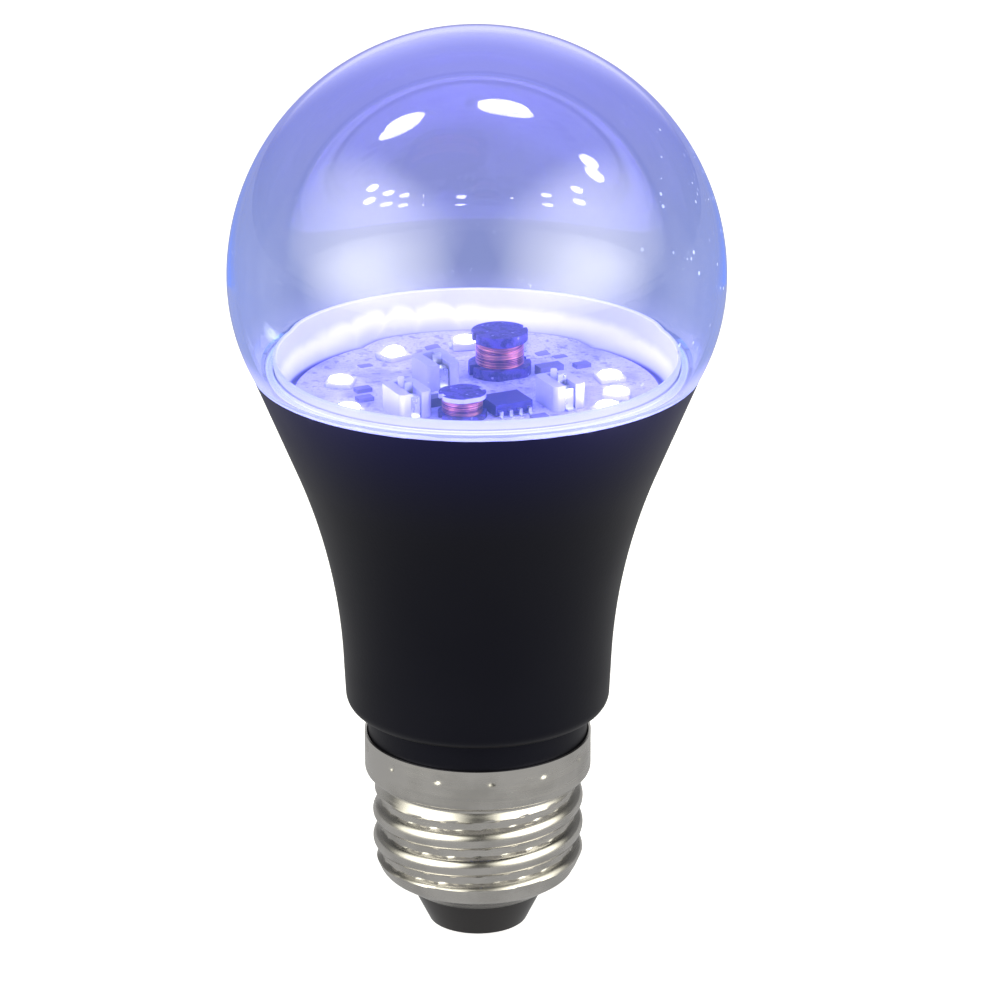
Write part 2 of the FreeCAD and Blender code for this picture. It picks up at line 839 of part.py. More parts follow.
def make_terminal(name, wired):
    """Terminal: a rounded block with an open channel, and the bent clip in it."""
    block = new_body(name + "_block")
    half_width, half_depth = "terminal_width / 2", "terminal_depth / 2"
    mould = pad(block, name + "_mould", box_corners(half_width, half_depth), "terminal_height")
    uprights = [
        f"Edge{index}"
        for index, edge in enumerate(block.Shape.Edges, start=1)
        if abs(edge.tangentAt(edge.FirstParameter).z) > 0.99
    ]
    rounds = block.newObject("PartDesign::Fillet", name + "_rounds")
    rounds.Base = (mould, uprights)
    rounds.setExpression("Radius", cells("terminal_round"))
    doc.recompute()
    front = "-(terminal_depth)"
    half = "channel_width / 2"
    channel = new_sketch(block, name + "_channel_outline", "XY_Plane", "terminal_height")
    draw(
        channel,
        [
            (f"-({half})", front),
            (half, front),
            (half, "terminal_depth / 2 - terminal_back_wall"),
            (f"-({half})", "terminal_depth / 2 - terminal_back_wall"),
        ],
    )
    cut(block, name + "_channel", channel, "terminal_height - terminal_floor")
    notch = new_sketch(block, name + "_notch_outline", "XY_Plane", "terminal_height")
    draw(
        notch,
        [
            (f"-({half})", front),
            (half, front),
            (half, "terminal_notch - terminal_depth / 2"),
            (f"-({half})", "terminal_notch - terminal_depth / 2"),
        ],
    )
    cut(block, name + "_notch", notch, None, through=True)
    if wired:
        hole = new_sketch(block, name + "_wire_hole_outline", "XY_Plane")
        draw_circle(hole, "0", "wire_place", "wire_hole_dia")
        cut(block, name + "_wire_hole", hole, None, through=True)
    place(block, name + "_x", name + "_y", "board_top", "layout_turn")

    clip = new_body(name + "_clip")
    face = "terminal_notch - clip_clearance - terminal_depth / 2"
    outer = f"{face} - clip_thickness"
    drop = f"{outer} + clip_roof"
    end = f"{drop} + clip_tongue"
    shelf = "terminal_floor"
    pad(
        clip,
        name + "_strip",
        [
            (f"{outer} - clip_foot", "0"),
            (face, "0"),
            (face, "clip_rise - clip_thickness"),
            (f"{drop} - clip_thickness", "clip_rise - clip_thickness"),
            (f"{drop} - clip_thickness", shelf),
            (end, shelf),
            (end, "clip_tab_height"),
            (f"{end} - clip_thickness", "clip_tab_height"),
            (f"{end} - clip_thickness", f"{shelf} + clip_thickness"),
            (drop, f"{shelf} + clip_thickness"),
            (drop, "clip_rise"),
            (outer, "clip_rise"),
            (outer, "clip_thickness"),
            (f"{outer} - clip_foot", "clip_thickness"),
        ],
        "channel_width - 2 * clip_clearance",
        plane="YZ_Plane",
        both_ways=True,
    )
    place(clip, name + "_x", name + "_y", "board_top", "layout_turn")


def make_chip_part(label, kind, turn="layout_turn"):
    """Small part: a plain moulded block soldered flat on the board."""
    body = new_body(label)
    pad(body, label + "_mould", box_corners(f"{kind}_length / 2", f"{kind}_width / 2"), f"{kind}_height")
    place(body, label + "_x", label + "_y", "board_top", turn)


# Wires


def sweep_wire(label, path, arcs, start_plane, start_lift, x, y, turn):
    """Sweep the wire's round section along a path in its own upright plane."""
    body = new_body(label)
    section = new_sketch(body, label + "_section", start_plane, start_lift)
    draw_circle(section, x, y, "wire_dia")
    route = new_sketch(body, label + "_route", "XZ_Plane")
    draw(route, path, arcs, closed=False)
    doc.recompute()
    pipe = body.newObject("PartDesign::AdditivePipe", label + "_pipe")
    pipe.Profile = section
    pipe.Spine = (route, [f"Edge{index}" for index in range(1, len(path))])
    body.Placement = FreeCAD.Placement(Vector(0, 0, 0), FreeCAD.Rotation(Vector(0, 0, 1), value(turn)))
    body.setExpression("Placement.Rotation.Angle", cells(turn))
    doc.recompute()


def lean_of(foot, reach):
    """Formulas for a leaning run: its angle, and its two bends' tangent length."""
    angle = f"atan2({reach} - ({foot}); board_low - wire_high - live_foot - wire_low)"
    return angle, f"wire_bend * tan({angle} / 2)"


def make_live_wire():
    """Live wire: up from the contact's stem, across, and up into its terminal."""
    angle, tangent = lean_of("0", "live_reach")
    low = "live_foot + wire_low"
    high = "board_low - wire_high"
    sweep_wire(
        "live_wire",
        [
            ("0", "live_foot"),
            ("0", f"{low} - {tangent}"),
            (f"{tangent} * sin({angle})", f"{low} + {tangent} * cos({angle})"),
            (f"live_reach - {tangent} * sin({angle})", f"{high} - {tangent} * cos({angle})"),
            ("live_reach", f"{high} + {tangent}"),
            ("live_reach", "wire_top"),
        ],
        {1: ("wire_bend", "right"), 3: ("wire_bend", "left")},
        "XY_Plane",
        "live_foot",
        "0",
        "0",
        "atan2(live_y; live_x)",
    )


def make_neutral_wire():
    """Neutral wire: in from the shell's wall, up the neck, and into its terminal."""
    foot = "shell_bore - neutral_inset"
    level = "thread_high - neutral_drop"
    angle, tangent = lean_of(foot, "neutral_reach")
    low = "live_foot + wire_low"
    high = "board_low - wire_high"
    sweep_wire(
        "neutral_wire",
        [
            ("shell_bore - neutral_touch", level),
            (f"{foot} + neutral_bend", level),
            (foot, f"{level} + neutral_bend"),
            (foot, f"{low} + neutral_bend + wire_bend - {tangent}"),
            (
                f"{foot} + {tangent} * sin({angle})",
                f"{low} + neutral_bend + wire_bend + {tangent} * cos({angle})",
            ),
            (f"neutral_reach - {tangent} * sin({angle})", f"{high} - {tangent} * cos({angle})"),
            ("neutral_reach", f"{high} + {tangent}"),
            ("neutral_reach", "wire_top"),
        ],
        {1: ("neutral_bend", "right"), 3: ("wire_bend", "right"), 5: ("wire_bend", "left")},
        "YZ_Plane",
        "shell_bore - neutral_touch",
        "0",
        level,
        "atan2(neutral_y; neutral_x)",
    )


def write_parts():
    """Check every object, then write each piece under its own label."""
    doc.recompute()
    for item in doc.Objects:
        if "Invalid" in item.State or "Error" in item.State:
            raise RuntimeError(f"{item.Label} failed: {item.State}")
    pieces = [item for item in doc.Objects if item.TypeId == "PartDesign::Body"]
    for piece in pieces:
        if piece.Shape.isNull() or not piece.Shape.isValid() or len(piece.Shape.Solids) != 1:
            raise RuntimeError(f"{piece.Label} is not one valid solid")
    os.makedirs("parts", exist_ok=True)
    for piece in pieces:
        piece.Shape.exportStep(f"parts/{piece.Label}.step")
        print(f"{piece.Label}: {piece.Shape.Volume:.2f} mm3")


make_cap_shell()
make_cap_insulator()
make_centre_contact()
make_housing()
make_globe()
make_globe_seal()
make_dish()
make_board()
for led_number in range(1, 12):
    make_led(led_number)
make_choke("large_choke")
make_choke("small_choke")
make_chip()
make_terminal("right_terminal", wired=True)
make_terminal("front_left_terminal", wired=True)
make_terminal("back_left_terminal", wired=False)
make_chip_part("diode", "diode")
make_chip_part("capacitor", "capacitor")
for resistor_number in range(1, 5):
    make_chip_part(f"resistor_{resistor_number}", "resistor")
make_live_wire()
make_neutral_wire()
write_parts()
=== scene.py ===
# Screw-cap black light bulb, lit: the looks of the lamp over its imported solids.
#
# Sizes are written in millimetres, as on a drawing, and turned into metres where a
# mesh is made. The lamp's axis is Z and its contact's outer face is at zero.

import math

import bmesh
import bpy
import numpy as np
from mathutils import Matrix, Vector


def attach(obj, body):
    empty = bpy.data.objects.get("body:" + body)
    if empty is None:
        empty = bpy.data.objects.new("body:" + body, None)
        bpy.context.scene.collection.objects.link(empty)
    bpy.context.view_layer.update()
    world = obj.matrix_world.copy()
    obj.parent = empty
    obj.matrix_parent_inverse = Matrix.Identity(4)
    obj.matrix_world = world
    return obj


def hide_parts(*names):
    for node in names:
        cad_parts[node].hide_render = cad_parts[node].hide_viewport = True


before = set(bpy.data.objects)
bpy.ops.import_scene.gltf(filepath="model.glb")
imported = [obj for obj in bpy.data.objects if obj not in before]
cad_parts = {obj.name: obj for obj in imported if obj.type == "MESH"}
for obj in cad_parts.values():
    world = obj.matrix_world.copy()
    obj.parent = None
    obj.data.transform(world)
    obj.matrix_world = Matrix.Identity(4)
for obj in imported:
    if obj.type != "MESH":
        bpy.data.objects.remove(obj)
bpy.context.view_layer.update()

MM = 0.001
TURN = 2.0 * math.pi

# Lamp levels and radii
CAP_MOUTH = 5.5
CAP_WALL = 12.15
COLLAR = 14.1
THREAD_LOW = 8.0
THREAD_HIGH = 20.5
THREAD_PITCH = 3.629
COLLAR_LOW = 21.4
CAP_RIM = 26.5
BODY_LOW = 30.0
RIM_LEVEL = 73.7
GROOVE_LEVEL = 72.3
FOOT_LEVEL = 72.6
LEDGE_LEVEL = 74.6
EQUATOR = 85.3
GLOBE = 30.0
GLOBE_WALL = 1.0
INNER_EQUATOR = 86.0
INNER_HALF_HEIGHT = 28.6
RIM = 27.15
DISH_LOW = 68.9
DISH_FLOOR = 69.4
DISH_EDGE = 75.6
BOARD_TOP = 70.4
LED_BASE_HEIGHT = 0.6
LENS_RADIUS = 1.45
LENS_HEIGHT = 0.5
LAYOUT = math.radians(26.0)
LED_RING = 17.0
LED_ANGLES = (95.0, 128.0, 170.0, 205.0, 239.0, 284.0, 320.0, 337.0, 355.0, 16.0, 75.0)
CRIMPS = 13
CRIMP_LEVEL = 25.1
CRIMP_RADIUS = 0.5
CRIMP_DEPTH = 0.2
CAP_TURN = math.radians(7.0)

# Light and camera
LENS_STRENGTH = 30.0
WALL_GLOW = 175.0
LAMP_GLOW = 0.0045
GLOW_RISE = 6.0
GLOBE_GLOW = 0.045
GLOW_COLOUR = (0.12, 0.10, 1.0)
SOFTBOX_SIZE = (2.0, 1.4)
SOFTBOX_RADIANCE = 3.9
SOFTBOX_COLOUR = (1.0, 0.98, 0.84)
SOFTBOX_PLACES = {
    "left_softbox": (-0.775, -0.484, 0.490),
    "right_softbox": (0.775, -0.484, 0.490),
}
GLOBE_MIDDLE = (0.0, 0.0, 0.085)
CAMERA_PLACE = (0.0, -0.4968, 0.2391)
CAMERA_PITCH = 20.17
CAMERA_YAW = -0.32
FOCAL_LENGTH = 155.9


# Surfaces on grids


def grid_faces(rows, columns, wrap_rows):
    """Four-cornered faces between neighbours on a grid whose columns go all the way round."""
    last_row = rows if wrap_rows else rows - 1
    row, column = np.meshgrid(np.arange(last_row), np.arange(columns), indexing="ij")
    below = (row + 1) % rows
    beside = (column + 1) % columns
    here = row * columns
    there = below * columns
    corners = (here + column, here + beside, there + beside, there + column)
    return np.stack(corners, axis=-1).reshape(-1, 4)


def closed_skin(grid, wrap_rows=False):
    """Points and outward faces of a closed grid: six times the volume is the sum of
    the corner triple products, and where that is negative the faces are turned."""
    rows, columns = grid.shape[:2]
    points = grid.reshape(-1, 3)
    faces = grid_faces(rows, columns, wrap_rows)
    a, b, c, d = (points[faces[:, k]] for k in range(4))
    volume = np.einsum("ij,ij->", a, np.cross(b, c)) + np.einsum("ij,ij->", a, np.cross(c, d))
    return points, faces if volume > 0 else faces[:, ::-1]


def once_round(count):
    """Even angles once round the axis."""
    return np.linspace(0.0, TURN, count, endpoint=False)


def around(profile, count):
    """Lathe: each profile point goes round the axis, x = r cos t, y = r sin t, z."""
    angle = once_round(count)
    radius = profile[:, 0][:, None]
    level = profile[:, 1][:, None] + 0.0 * angle
    return np.stack((radius * np.cos(angle), radius * np.sin(angle), level), axis=-1)


def arc(centre, radius, start, finish, count, half_height=None):
    """Points between two angles given in degrees, in radius and level: on a circle, or on
    an ellipse where a half height is given."""
    angle = np.radians(np.linspace(start, finish, count))
    tall = radius if half_height is None else half_height
    out = centre[0] + radius * np.cos(angle)
    level = centre[1] + tall * np.sin(angle)
    return np.stack((out, level), axis=-1)


def eased(corners, ease, steps=5, closed=False):
    """A line through corners with each corner rounded: between two points at the ease
    distance from the corner the curve is a parabola, (1-t)^2 p + 2t(1-t) q + t^2 s."""
    corner = np.asarray(corners, float)
    before = np.roll(corner, 1, axis=0)
    after = np.roll(corner, -1, axis=0)
    reach_in = np.linalg.norm(before - corner, axis=1, keepdims=True)
    reach_out = np.linalg.norm(after - corner, axis=1, keepdims=True)
    cut = np.minimum(np.minimum(reach_in, reach_out) * 0.45, ease)
    p = corner + (before - corner) / reach_in * cut
    s = corner + (after - corner) / reach_out * cut
    t = np.linspace(0.0, 1.0, steps)[None, :, None]
    curve = (1 - t) ** 2 * p[:, None] + 2 * t * (1 - t) * corner[:, None] + t**2 * s[:, None]
    if closed:
        return curve.reshape(-1, 2)
    middle = curve[1:-1].reshape(-1, 2)
    return np.concatenate((corner[:1], middle, corner[-1:]))


def finer(line, longest):
    """A line with points added so that no step is longer than a given length."""
    step = np.linalg.norm(np.diff(line, axis=0), axis=1)
    along = np.concatenate(([0.0], np.cumsum(step)))
    wanted = np.unique(np.concatenate((along, np.arange(0.0, along[-1], longest))))
    out = np.interp(wanted, along, line[:, 0])
    level = np.interp(wanted, along, line[:, 1])
    return np.stack((out, level), axis=-1)


def soft_plate(half_x, half_y, low, high, corner, ease):
    """Rounded plate: the outline is a rectangle whose corners are arcs. At its foot it is
    drawn in by e(1-sin a) while the level rises by e(1-cos a), and its top is turned over."""
    turn = once_round(40) + TURN / 80
    reach_x = half_x - corner
    reach_y = half_y - corner
    bend = np.linspace(0.0, math.pi / 2, 5)
    drawn_in = ease * (1 - np.sin(bend))
    drawn_out = ease * (1 - np.cos(bend))
    inset = np.concatenate(([half_x], drawn_in, drawn_out, [half_x]))
    level = np.concatenate(([low], low + drawn_out, high - drawn_in, [high]))
    shrink = np.clip(1.0 - inset / min(half_x, half_y), 0.0, 1.0)[:, None]
    x = np.sign(np.cos(turn)) * reach_x + corner * np.cos(turn)
    y = np.sign(np.sin(turn)) * reach_y + corner * np.sin(turn)
    tall = level[:, None] + 0.0 * turn
    return np.stack((x * shrink, y * shrink, tall), axis=-1)


def put(grid, x, y, turn=0.0, lift=0.0):
    """Turn a grid about its upright axis and move it to its place."""
    c = math.cos(turn)
    s = math.sin(turn)
    gx = grid[..., 0] * c - grid[..., 1] * s + x
    gy = grid[..., 0] * s + grid[..., 1] * c + y
    return np.stack((gx, gy, grid[..., 2] + lift), axis=-1)


def make_piece(name, skins, finishes, slot, *nodes):
    """One mesh from closed skins, each with the number of its finish."""
    points = []
    faces = []
    numbers = []
    start = 0
    for (skin_points, skin_faces), number in skins:
        points.append(skin_points)
        faces.append(skin_faces + start)
        numbers.append(np.full(len(skin_faces), number))
        start += len(skin_points)
    points = np.concatenate(points) * MM
    faces = np.concatenate(faces)
    mesh = bpy.data.meshes.new(name)
    mesh.from_pydata(points.tolist(), [], faces.tolist())
    mesh.polygons.foreach_set("material_index", np.concatenate(numbers).astype(np.int32))
    for finish in finishes:
        mesh.materials.append(finish)
    close_poles(mesh)
    mesh.polygons.foreach_set("use_smooth", np.ones(len(mesh.polygons), bool))
    mesh.set_sharp_from_angle(angle=math.radians(38))
    piece = bpy.data.objects.new(name, mesh)
    bpy.context.scene.collection.objects.link(piece)
    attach(piece, "root")
    if nodes:
        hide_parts(*nodes)


def close_poles(mesh):
    """Merge the points that share a pole, so that the skin closes there."""
    work = bmesh.new()
    work.from_mesh(mesh)
    bmesh.ops.remove_doubles(work, verts=work.verts, dist=1e-8)
    work.to_mesh(mesh)
    work.free()
    mesh.update()


# Finishes


def new_finish(name, **values):
    """A material with one Principled shader whose plain values are set on its sockets."""
    finish = bpy.data.materials.new(name)
    finish.use_nodes = True
    shader = finish.node_tree.nodes["Principled BSDF"]
    for socket, number in values.items():
        shader.inputs[socket.replace("_", " ")].default_value = number
    return finish, finish.node_tree, shader


def add(tree, kind, **settings):
    """A node with its properties set by name."""
    node = tree.nodes.new(kind)
    for name, setting in settings.items():
        setattr(node, name, setting)
    return node


def place_of(tree):
    """The Object coordinates of a surface."""
    return add(tree, "ShaderNodeTexCoord").outputs["Object"]


def math_node(tree, operation, first, second=None, clamp=False):
    """One sum, with sockets or plain numbers as its terms."""
    node = add(tree, "ShaderNodeMath", operation=operation, use_clamp=clamp)
    for socket, term in zip(node.inputs, (first, second)):
        if term is None:
            continue
        if isinstance(term, (int, float)):
            socket.default_value = term
        else:
            tree.links.new(term, socket)
    return node.outputs[0]


def times(tree, first, second):
    """The product of two terms."""
    return math_node(tree, "MULTIPLY", first, second)


def plus(tree, first, second):
    """The sum of two terms."""
    return math_node(tree, "ADD", first, second)


def minus(tree, first, second):
    """The first term less the second."""
    return math_node(tree, "SUBTRACT", first, second)


def parted(tree, vector):
    """The X, Y and Z of a vector, by name."""
    node = add(tree, "ShaderNodeSeparateXYZ")
    tree.links.new(vector, node.inputs[0])
    return node.outputs


def ranged(tree, value, low, high, out_low, out_high, smooth=True):
    """A value carried from one range to another, held at the ends."""
    node = add(tree, "ShaderNodeMapRange", interpolation_type="SMOOTHSTEP" if smooth else "LINEAR")
    tree.links.new(value, node.inputs["Value"])
    node.inputs["From Min"].default_value = low
    node.inputs["From Max"].default_value = high
    node.inputs["To Min"].default_value = out_low
    node.inputs["To Max"].default_value = out_high
    return node.outputs["Result"]


def blended(tree, mask, first, second):
    """Two colours blended by a mask. A term is a socket or a colour."""
    node = add(tree, "ShaderNodeMix", data_type="RGBA")
    tree.links.new(mask, node.inputs[0])
    for socket, term in ((node.inputs[6], first), (node.inputs[7], second)):
        if isinstance(term, tuple):
            socket.default_value = (*term, 1.0)
        else:
            tree.links.new(term, socket)
    return node.outputs[2]


def noise(tree, place, scale, detail=3.0, roughness=0.5):
    """A cloud value about one half."""
    node = add(tree, "ShaderNodeTexNoise")
    tree.links.new(place, node.inputs["Vector"])
    node.inputs["Scale"].default_value = scale
    node.inputs["Detail"].default_value = detail
    node.inputs["Roughness"].default_value = roughness
    return node.outputs["Fac"]


def dented(tree, shader, height, strength, distance):
    """A bump from a height, fed to the shader's normal."""
    node = add(tree, "ShaderNodeBump")
    node.inputs["Strength"].default_value = strength
    node.inputs["Distance"].default_value = distance
    tree.links.new(height, node.inputs["Height"])
    tree.links.new(node.outputs["Normal"], shader.inputs["Normal"])


def new_group(name, inputs, outputs):
    """An effect shared by several finishes, with named inputs and outputs."""
    group = bpy.data.node_groups.new(name, "ShaderNodeTree")
    for socket, kind, number in inputs:
        made = group.interface.new_socket(socket, in_out="INPUT", socket_type=kind)
        made.default_value = number
    for socket, kind in outputs:
        group.interface.new_socket(socket, in_out="OUTPUT", socket_type=kind)
    given = group.nodes.new("NodeGroupInput").outputs
    result = group.nodes.new("NodeGroupOutput").inputs
    return group, given, result


def use_group(tree, group, **values):
    """A shared effect placed in one finish with its own values."""
    node = add(tree, "ShaderNodeGroup", node_tree=group)
    for socket, number in values.items():
        node.inputs[socket.replace("_", " ")].default_value = number
    return node.outputs


def moulding_group():
    """Moulded surface: fine grain as height, with a cloudy tone and roughness."""
    inputs = [
        ("Tone", "NodeSocketColor", (0.5, 0.5, 0.5, 1.0)),
        ("Grain Scale", "NodeSocketFloat", 3000.0),
        ("Cloud Scale", "NodeSocketFloat", 60.0),
        ("Roughness Low", "NodeSocketFloat", 0.35),
        ("Roughness High", "NodeSocketFloat", 0.5),
    ]
    outputs = [
        ("Color", "NodeSocketColor"),
        ("Roughness", "NodeSocketFloat"),
        ("Height", "NodeSocketFloat"),
    ]
    group, given, result = new_group("moulded_grain", inputs, outputs)
    place = place_of(group)
    grain = add(group, "ShaderNodeTexNoise")
    group.links.new(place, grain.inputs["Vector"])
    group.links.new(given["Grain Scale"], grain.inputs["Scale"])
    cloud = add(group, "ShaderNodeTexNoise")
    group.links.new(place, cloud.inputs["Vector"])
    group.links.new(given["Cloud Scale"], cloud.inputs["Scale"])
    cloud.inputs["Detail"].default_value = 5.0
    shade = ranged(group, cloud.outputs["Fac"], 0.3, 0.7, 0.86, 1.12)
    tone = add(group, "ShaderNodeVectorMath", operation="SCALE")
    group.links.new(given["Tone"], tone.inputs[0])
    group.links.new(shade, tone.inputs["Scale"])
    rough = add(group, "ShaderNodeMapRange")
    group.links.new(cloud.outputs["Fac"], rough.inputs["Value"])
    rough.inputs["From Min"].default_value = 0.3
    rough.inputs["From Max"].default_value = 0.7
    group.links.new(given["Roughness Low"], rough.inputs["To Min"])
    group.links.new(given["Roughness High"], rough.inputs["To Max"])
    group.links.new(tone.outputs["Vector"], result["Color"])
    group.links.new(rough.outputs["Result"], result["Roughness"])
    group.links.new(grain.outputs["Fac"], result["Height"])
    return group


def speck_group():
    """Dust: a mask of small round specks, sparse cells of a Voronoi pattern."""
    inputs = [
        ("Scale", "NodeSocketFloat", 150.0),
        ("Size", "NodeSocketFloat", 0.1),
        ("Share", "NodeSocketFloat", 0.1),
    ]
    group, given, result = new_group("dust_specks", inputs, [("Mask", "NodeSocketFloat")])
    cell = add(group, "ShaderNodeTexVoronoi")
    group.links.new(place_of(group), cell.inputs["Vector"])
    group.links.new(given["Scale"], cell.inputs["Scale"])
    near = math_node(group, "LESS_THAN", cell.outputs["Distance"], given["Size"])
    pick = add(group, "ShaderNodeSeparateColor")
    group.links.new(cell.outputs["Color"], pick.inputs[0])
    rare = math_node(group, "LESS_THAN", pick.outputs[0], given["Share"])
    group.links.new(times(group, near, rare), result["Mask"])
    return group


MOULDED = moulding_group()
SPECKS = speck_group()


def moulded_finish(name, tone, grain, bump, rough, **values):
    """A moulded or cast finish on the shared grain."""
    finish, tree, shader = new_finish(name, **values)
    made = use_group(
        tree,
        MOULDED,
        Tone=(*tone, 1.0),
        Grain_Scale=grain,
        Roughness_Low=rough[0],
        Roughness_High=rough[1],
    )
    tree.links.new(made["Color"], shader.inputs["Base Color"])
    tree.links.new(made["Roughness"], shader.inputs["Roughness"])
    dented(tree, shader, made["Height"], bump, 0.0001)
    return finish, tree, shader, made


def globe_finish():
    """Clear globe: glass with a faint painted violet glow that thickens at top and foot, dust and
    one smear of sealant drawn as painted glowing light, and a painted glow inside the wall that
    shows where it is seen edge on."""
    finish, tree, shader = new_finish(
        "clear_globe",
        Base_Color=(0.985, 0.988, 1.0, 1.0),
        Transmission_Weight=1.0,
        Roughness=0.0,
        IOR=1.49,
        Emission_Strength=1.0,
    )
    place = place_of(tree)
    part = parted(tree, place)
    top = ranged(tree, part["Z"], 0.092, 0.114, 0.0, 1.0)
    foot = ranged(tree, part["Z"], 0.0780, 0.0740, 0.0, 1.0)
    # painted glow: emission stands in for the lamps' violet light scattered in the glass, stronger
    # at the top
    painted_glass_glow = blended(tree, top, (0.002, 0.002, 0.012), (0.013, 0.004, 0.092))
    # painted glow at the foot, brighter at the front than at the back
    front = ranged(tree, part["Y"], -0.004, 0.012, 1.0, 0.25)
    painted_glass_glow = blended(tree, times(tree, foot, front), painted_glass_glow, (0.120, 0.105, 0.260))
    # real dust specks and, below, a real sealant smear, both drawn only as painted glowing light
    dust_and_glow = use_group(tree, SPECKS, Scale=480.0, Size=0.12, Share=0.24)["Mask"]
    patch = ranged(tree, noise(tree, place, 60.0, 1.0), 0.40, 0.55, 0.0, 1.0)
    right = ranged(tree, part["X"], 0.016, 0.023, 0.06, 1.0)
    dust_and_glow = times(tree, times(tree, dust_and_glow, patch), right)
    painted_glass_glow = blended(tree, dust_and_glow, painted_glass_glow, (0.55, 0.60, 0.75))
    spot = add(tree, "ShaderNodeVectorMath", operation="DISTANCE")
    tree.links.new(place, spot.inputs[0])
    spot.inputs[1].default_value = (-0.0263, 0.0085, 0.0745)
    ragged = times(tree, noise(tree, place, 900.0, 3.0), 0.003)
    away = plus(tree, spot.outputs["Value"], ragged)
    smear_and_glow = ranged(tree, away, 0.0024, 0.0034, 1.0, 0.0)
    painted_glass_glow = blended(tree, smear_and_glow, painted_glass_glow, (0.30, 0.33, 0.45))
    tree.links.new(painted_glass_glow, shader.inputs["Emission Color"])
    # painted glow: the wall's volume gives off blue light, which shows most where the wall is seen
    # edge on
    wall = add(tree, "ShaderNodeEmission")
    wall.inputs["Color"].default_value = (0.05, 0.20, 1.0, 1.0)
    wall.inputs["Strength"].default_value = WALL_GLOW
    tree.links.new(wall.outputs["Emission"], tree.nodes["Material Output"].inputs["Volume"])
    return finish


def housing_finish():
    """Black housing: satin moulded plastic, violet light bleeding down from the rim."""
    finish, tree, shader = moulded_finish(
        "black_housing",
        (0.003, 0.003, 0.004),
        2600.0,
        0.10,
        (0.36, 0.44),
        Specular_IOR_Level=0.27,
        Specular_Tint=(0.62, 0.64, 1.0, 1.0),
        Emission_Strength=1.0,
    )[:3]
    part = parted(tree, place_of(tree))
    glow = ranged(tree, part["Z"], 0.058, 0.0737, 0.0, 1.0, smooth=False)
    glow = math_node(tree, "POWER", glow, 1.8)
    bleed = blended(tree, glow, (0.0, 0.0, 0.0), (0.001, 0.001, 0.030))
    tree.links.new(bleed, shader.inputs["Emission Color"])
    return finish


def dish_finish():
    """Dish: pale aluminium. A painted band of light runs round the wall, whose top rises and falls
    as
    |sin| of the angle at the back left. The floor is painted dark as shade, the edge gets a painted highlight and the outside painted light."""
    finish, tree, shader = new_finish(
        "dish_aluminium",
        Roughness=0.6,
        Metallic=0.0,
        Emission_Strength=1.0,
    )
    place = place_of(tree)
    part = parted(tree, place)
    # painted light: the lamps' pools of light on the wall, drawn as a bright wavy band in colour
    # and emission
    cloud = noise(tree, place, 160.0, 2.0)
    angle = math_node(tree, "ARCTAN2", part["Y"], part["X"])
    phase = plus(tree, times(tree, angle, 15.0), times(tree, cloud, 6.0))
    wave = math_node(tree, "ABSOLUTE", math_node(tree, "SINE", phase))
    wave = math_node(tree, "POWER", wave, 0.7)
    left = ranged(tree, part["X"], 0.004, -0.006, 0.15, 1.0)
    left = times(tree, left, ranged(tree, part["X"], -0.012, -0.019, 1.0, 0.2))
    crest = times(tree, times(tree, wave, left), 0.0010)
    below = minus(tree, plus(tree, crest, 0.0728), part["Z"])
    light_pool = ranged(tree, below, -0.0007, 0.0008, 0.0, 1.0)
    fall = ranged(tree, below, 0.0010, 0.0032, 1.0, 0.35)
    back = ranged(tree, part["Y"], -0.008, 0.006, 0.3, 1.0)
    light_pool = times(tree, times(tree, light_pool, fall), back)
    base = blended(tree, light_pool, (0.36, 0.36, 0.42), (0.55, 0.55, 0.57))
    painted_dish_light = blended(tree, light_pool, (0.18, 0.20, 0.30), (0.30, 0.31, 0.42))
    # painted shade: the floor is painted dark in colour and emission
    floor = ranged(tree, part["Z"], 0.0696, 0.0702, 1.0, 0.0)
    base = blended(tree, floor, base, (0.07, 0.06, 0.14))
    painted_dish_light = blended(tree, floor, painted_dish_light, (0.01, 0.005, 0.08))
    # painted light on the outside of the wall, with a painted shadow below its top
    reach = add(tree, "ShaderNodeVectorMath", operation="LENGTH")
    level = add(tree, "ShaderNodeCombineXYZ")
    tree.links.new(part["X"], level.inputs["X"])
    tree.links.new(part["Y"], level.inputs["Y"])
    tree.links.new(level.outputs[0], reach.inputs[0])
    lean = times(tree, minus(tree, part["Z"], DISH_FLOOR * MM), 0.09)
    beyond = minus(tree, reach.outputs["Value"], lean)
    outside = ranged(tree, beyond, 0.0240, 0.02405, 0.0, 1.0)
    shadow = ranged(tree, part["Z"], 0.0745, 0.0747, 0.0, 1.0)
    painted_skirt_shading = blended(tree, shadow, (0.02, 0.015, 0.16), (0.46, 0.46, 0.54))
    painted_dish_light = blended(tree, outside, painted_dish_light, painted_skirt_shading)
    # painted highlight along the top edge, broken by flecks
    edge = ranged(tree, part["Z"], 0.0753, 0.0755, 0.0, 1.0)
    fleck = ranged(tree, noise(tree, place, 420.0, 2.0), 0.66, 0.70, 1.0, 0.0)
    painted_dish_light = blended(tree, times(tree, edge, fleck), painted_dish_light, (0.45, 0.47, 0.62))
    tree.links.new(base, shader.inputs["Base Color"])
    tree.links.new(painted_dish_light, shader.inputs["Emission Color"])
    dented(tree, shader, noise(tree, place, 900.0, 2.0), 0.15, 0.0002)
    return finish


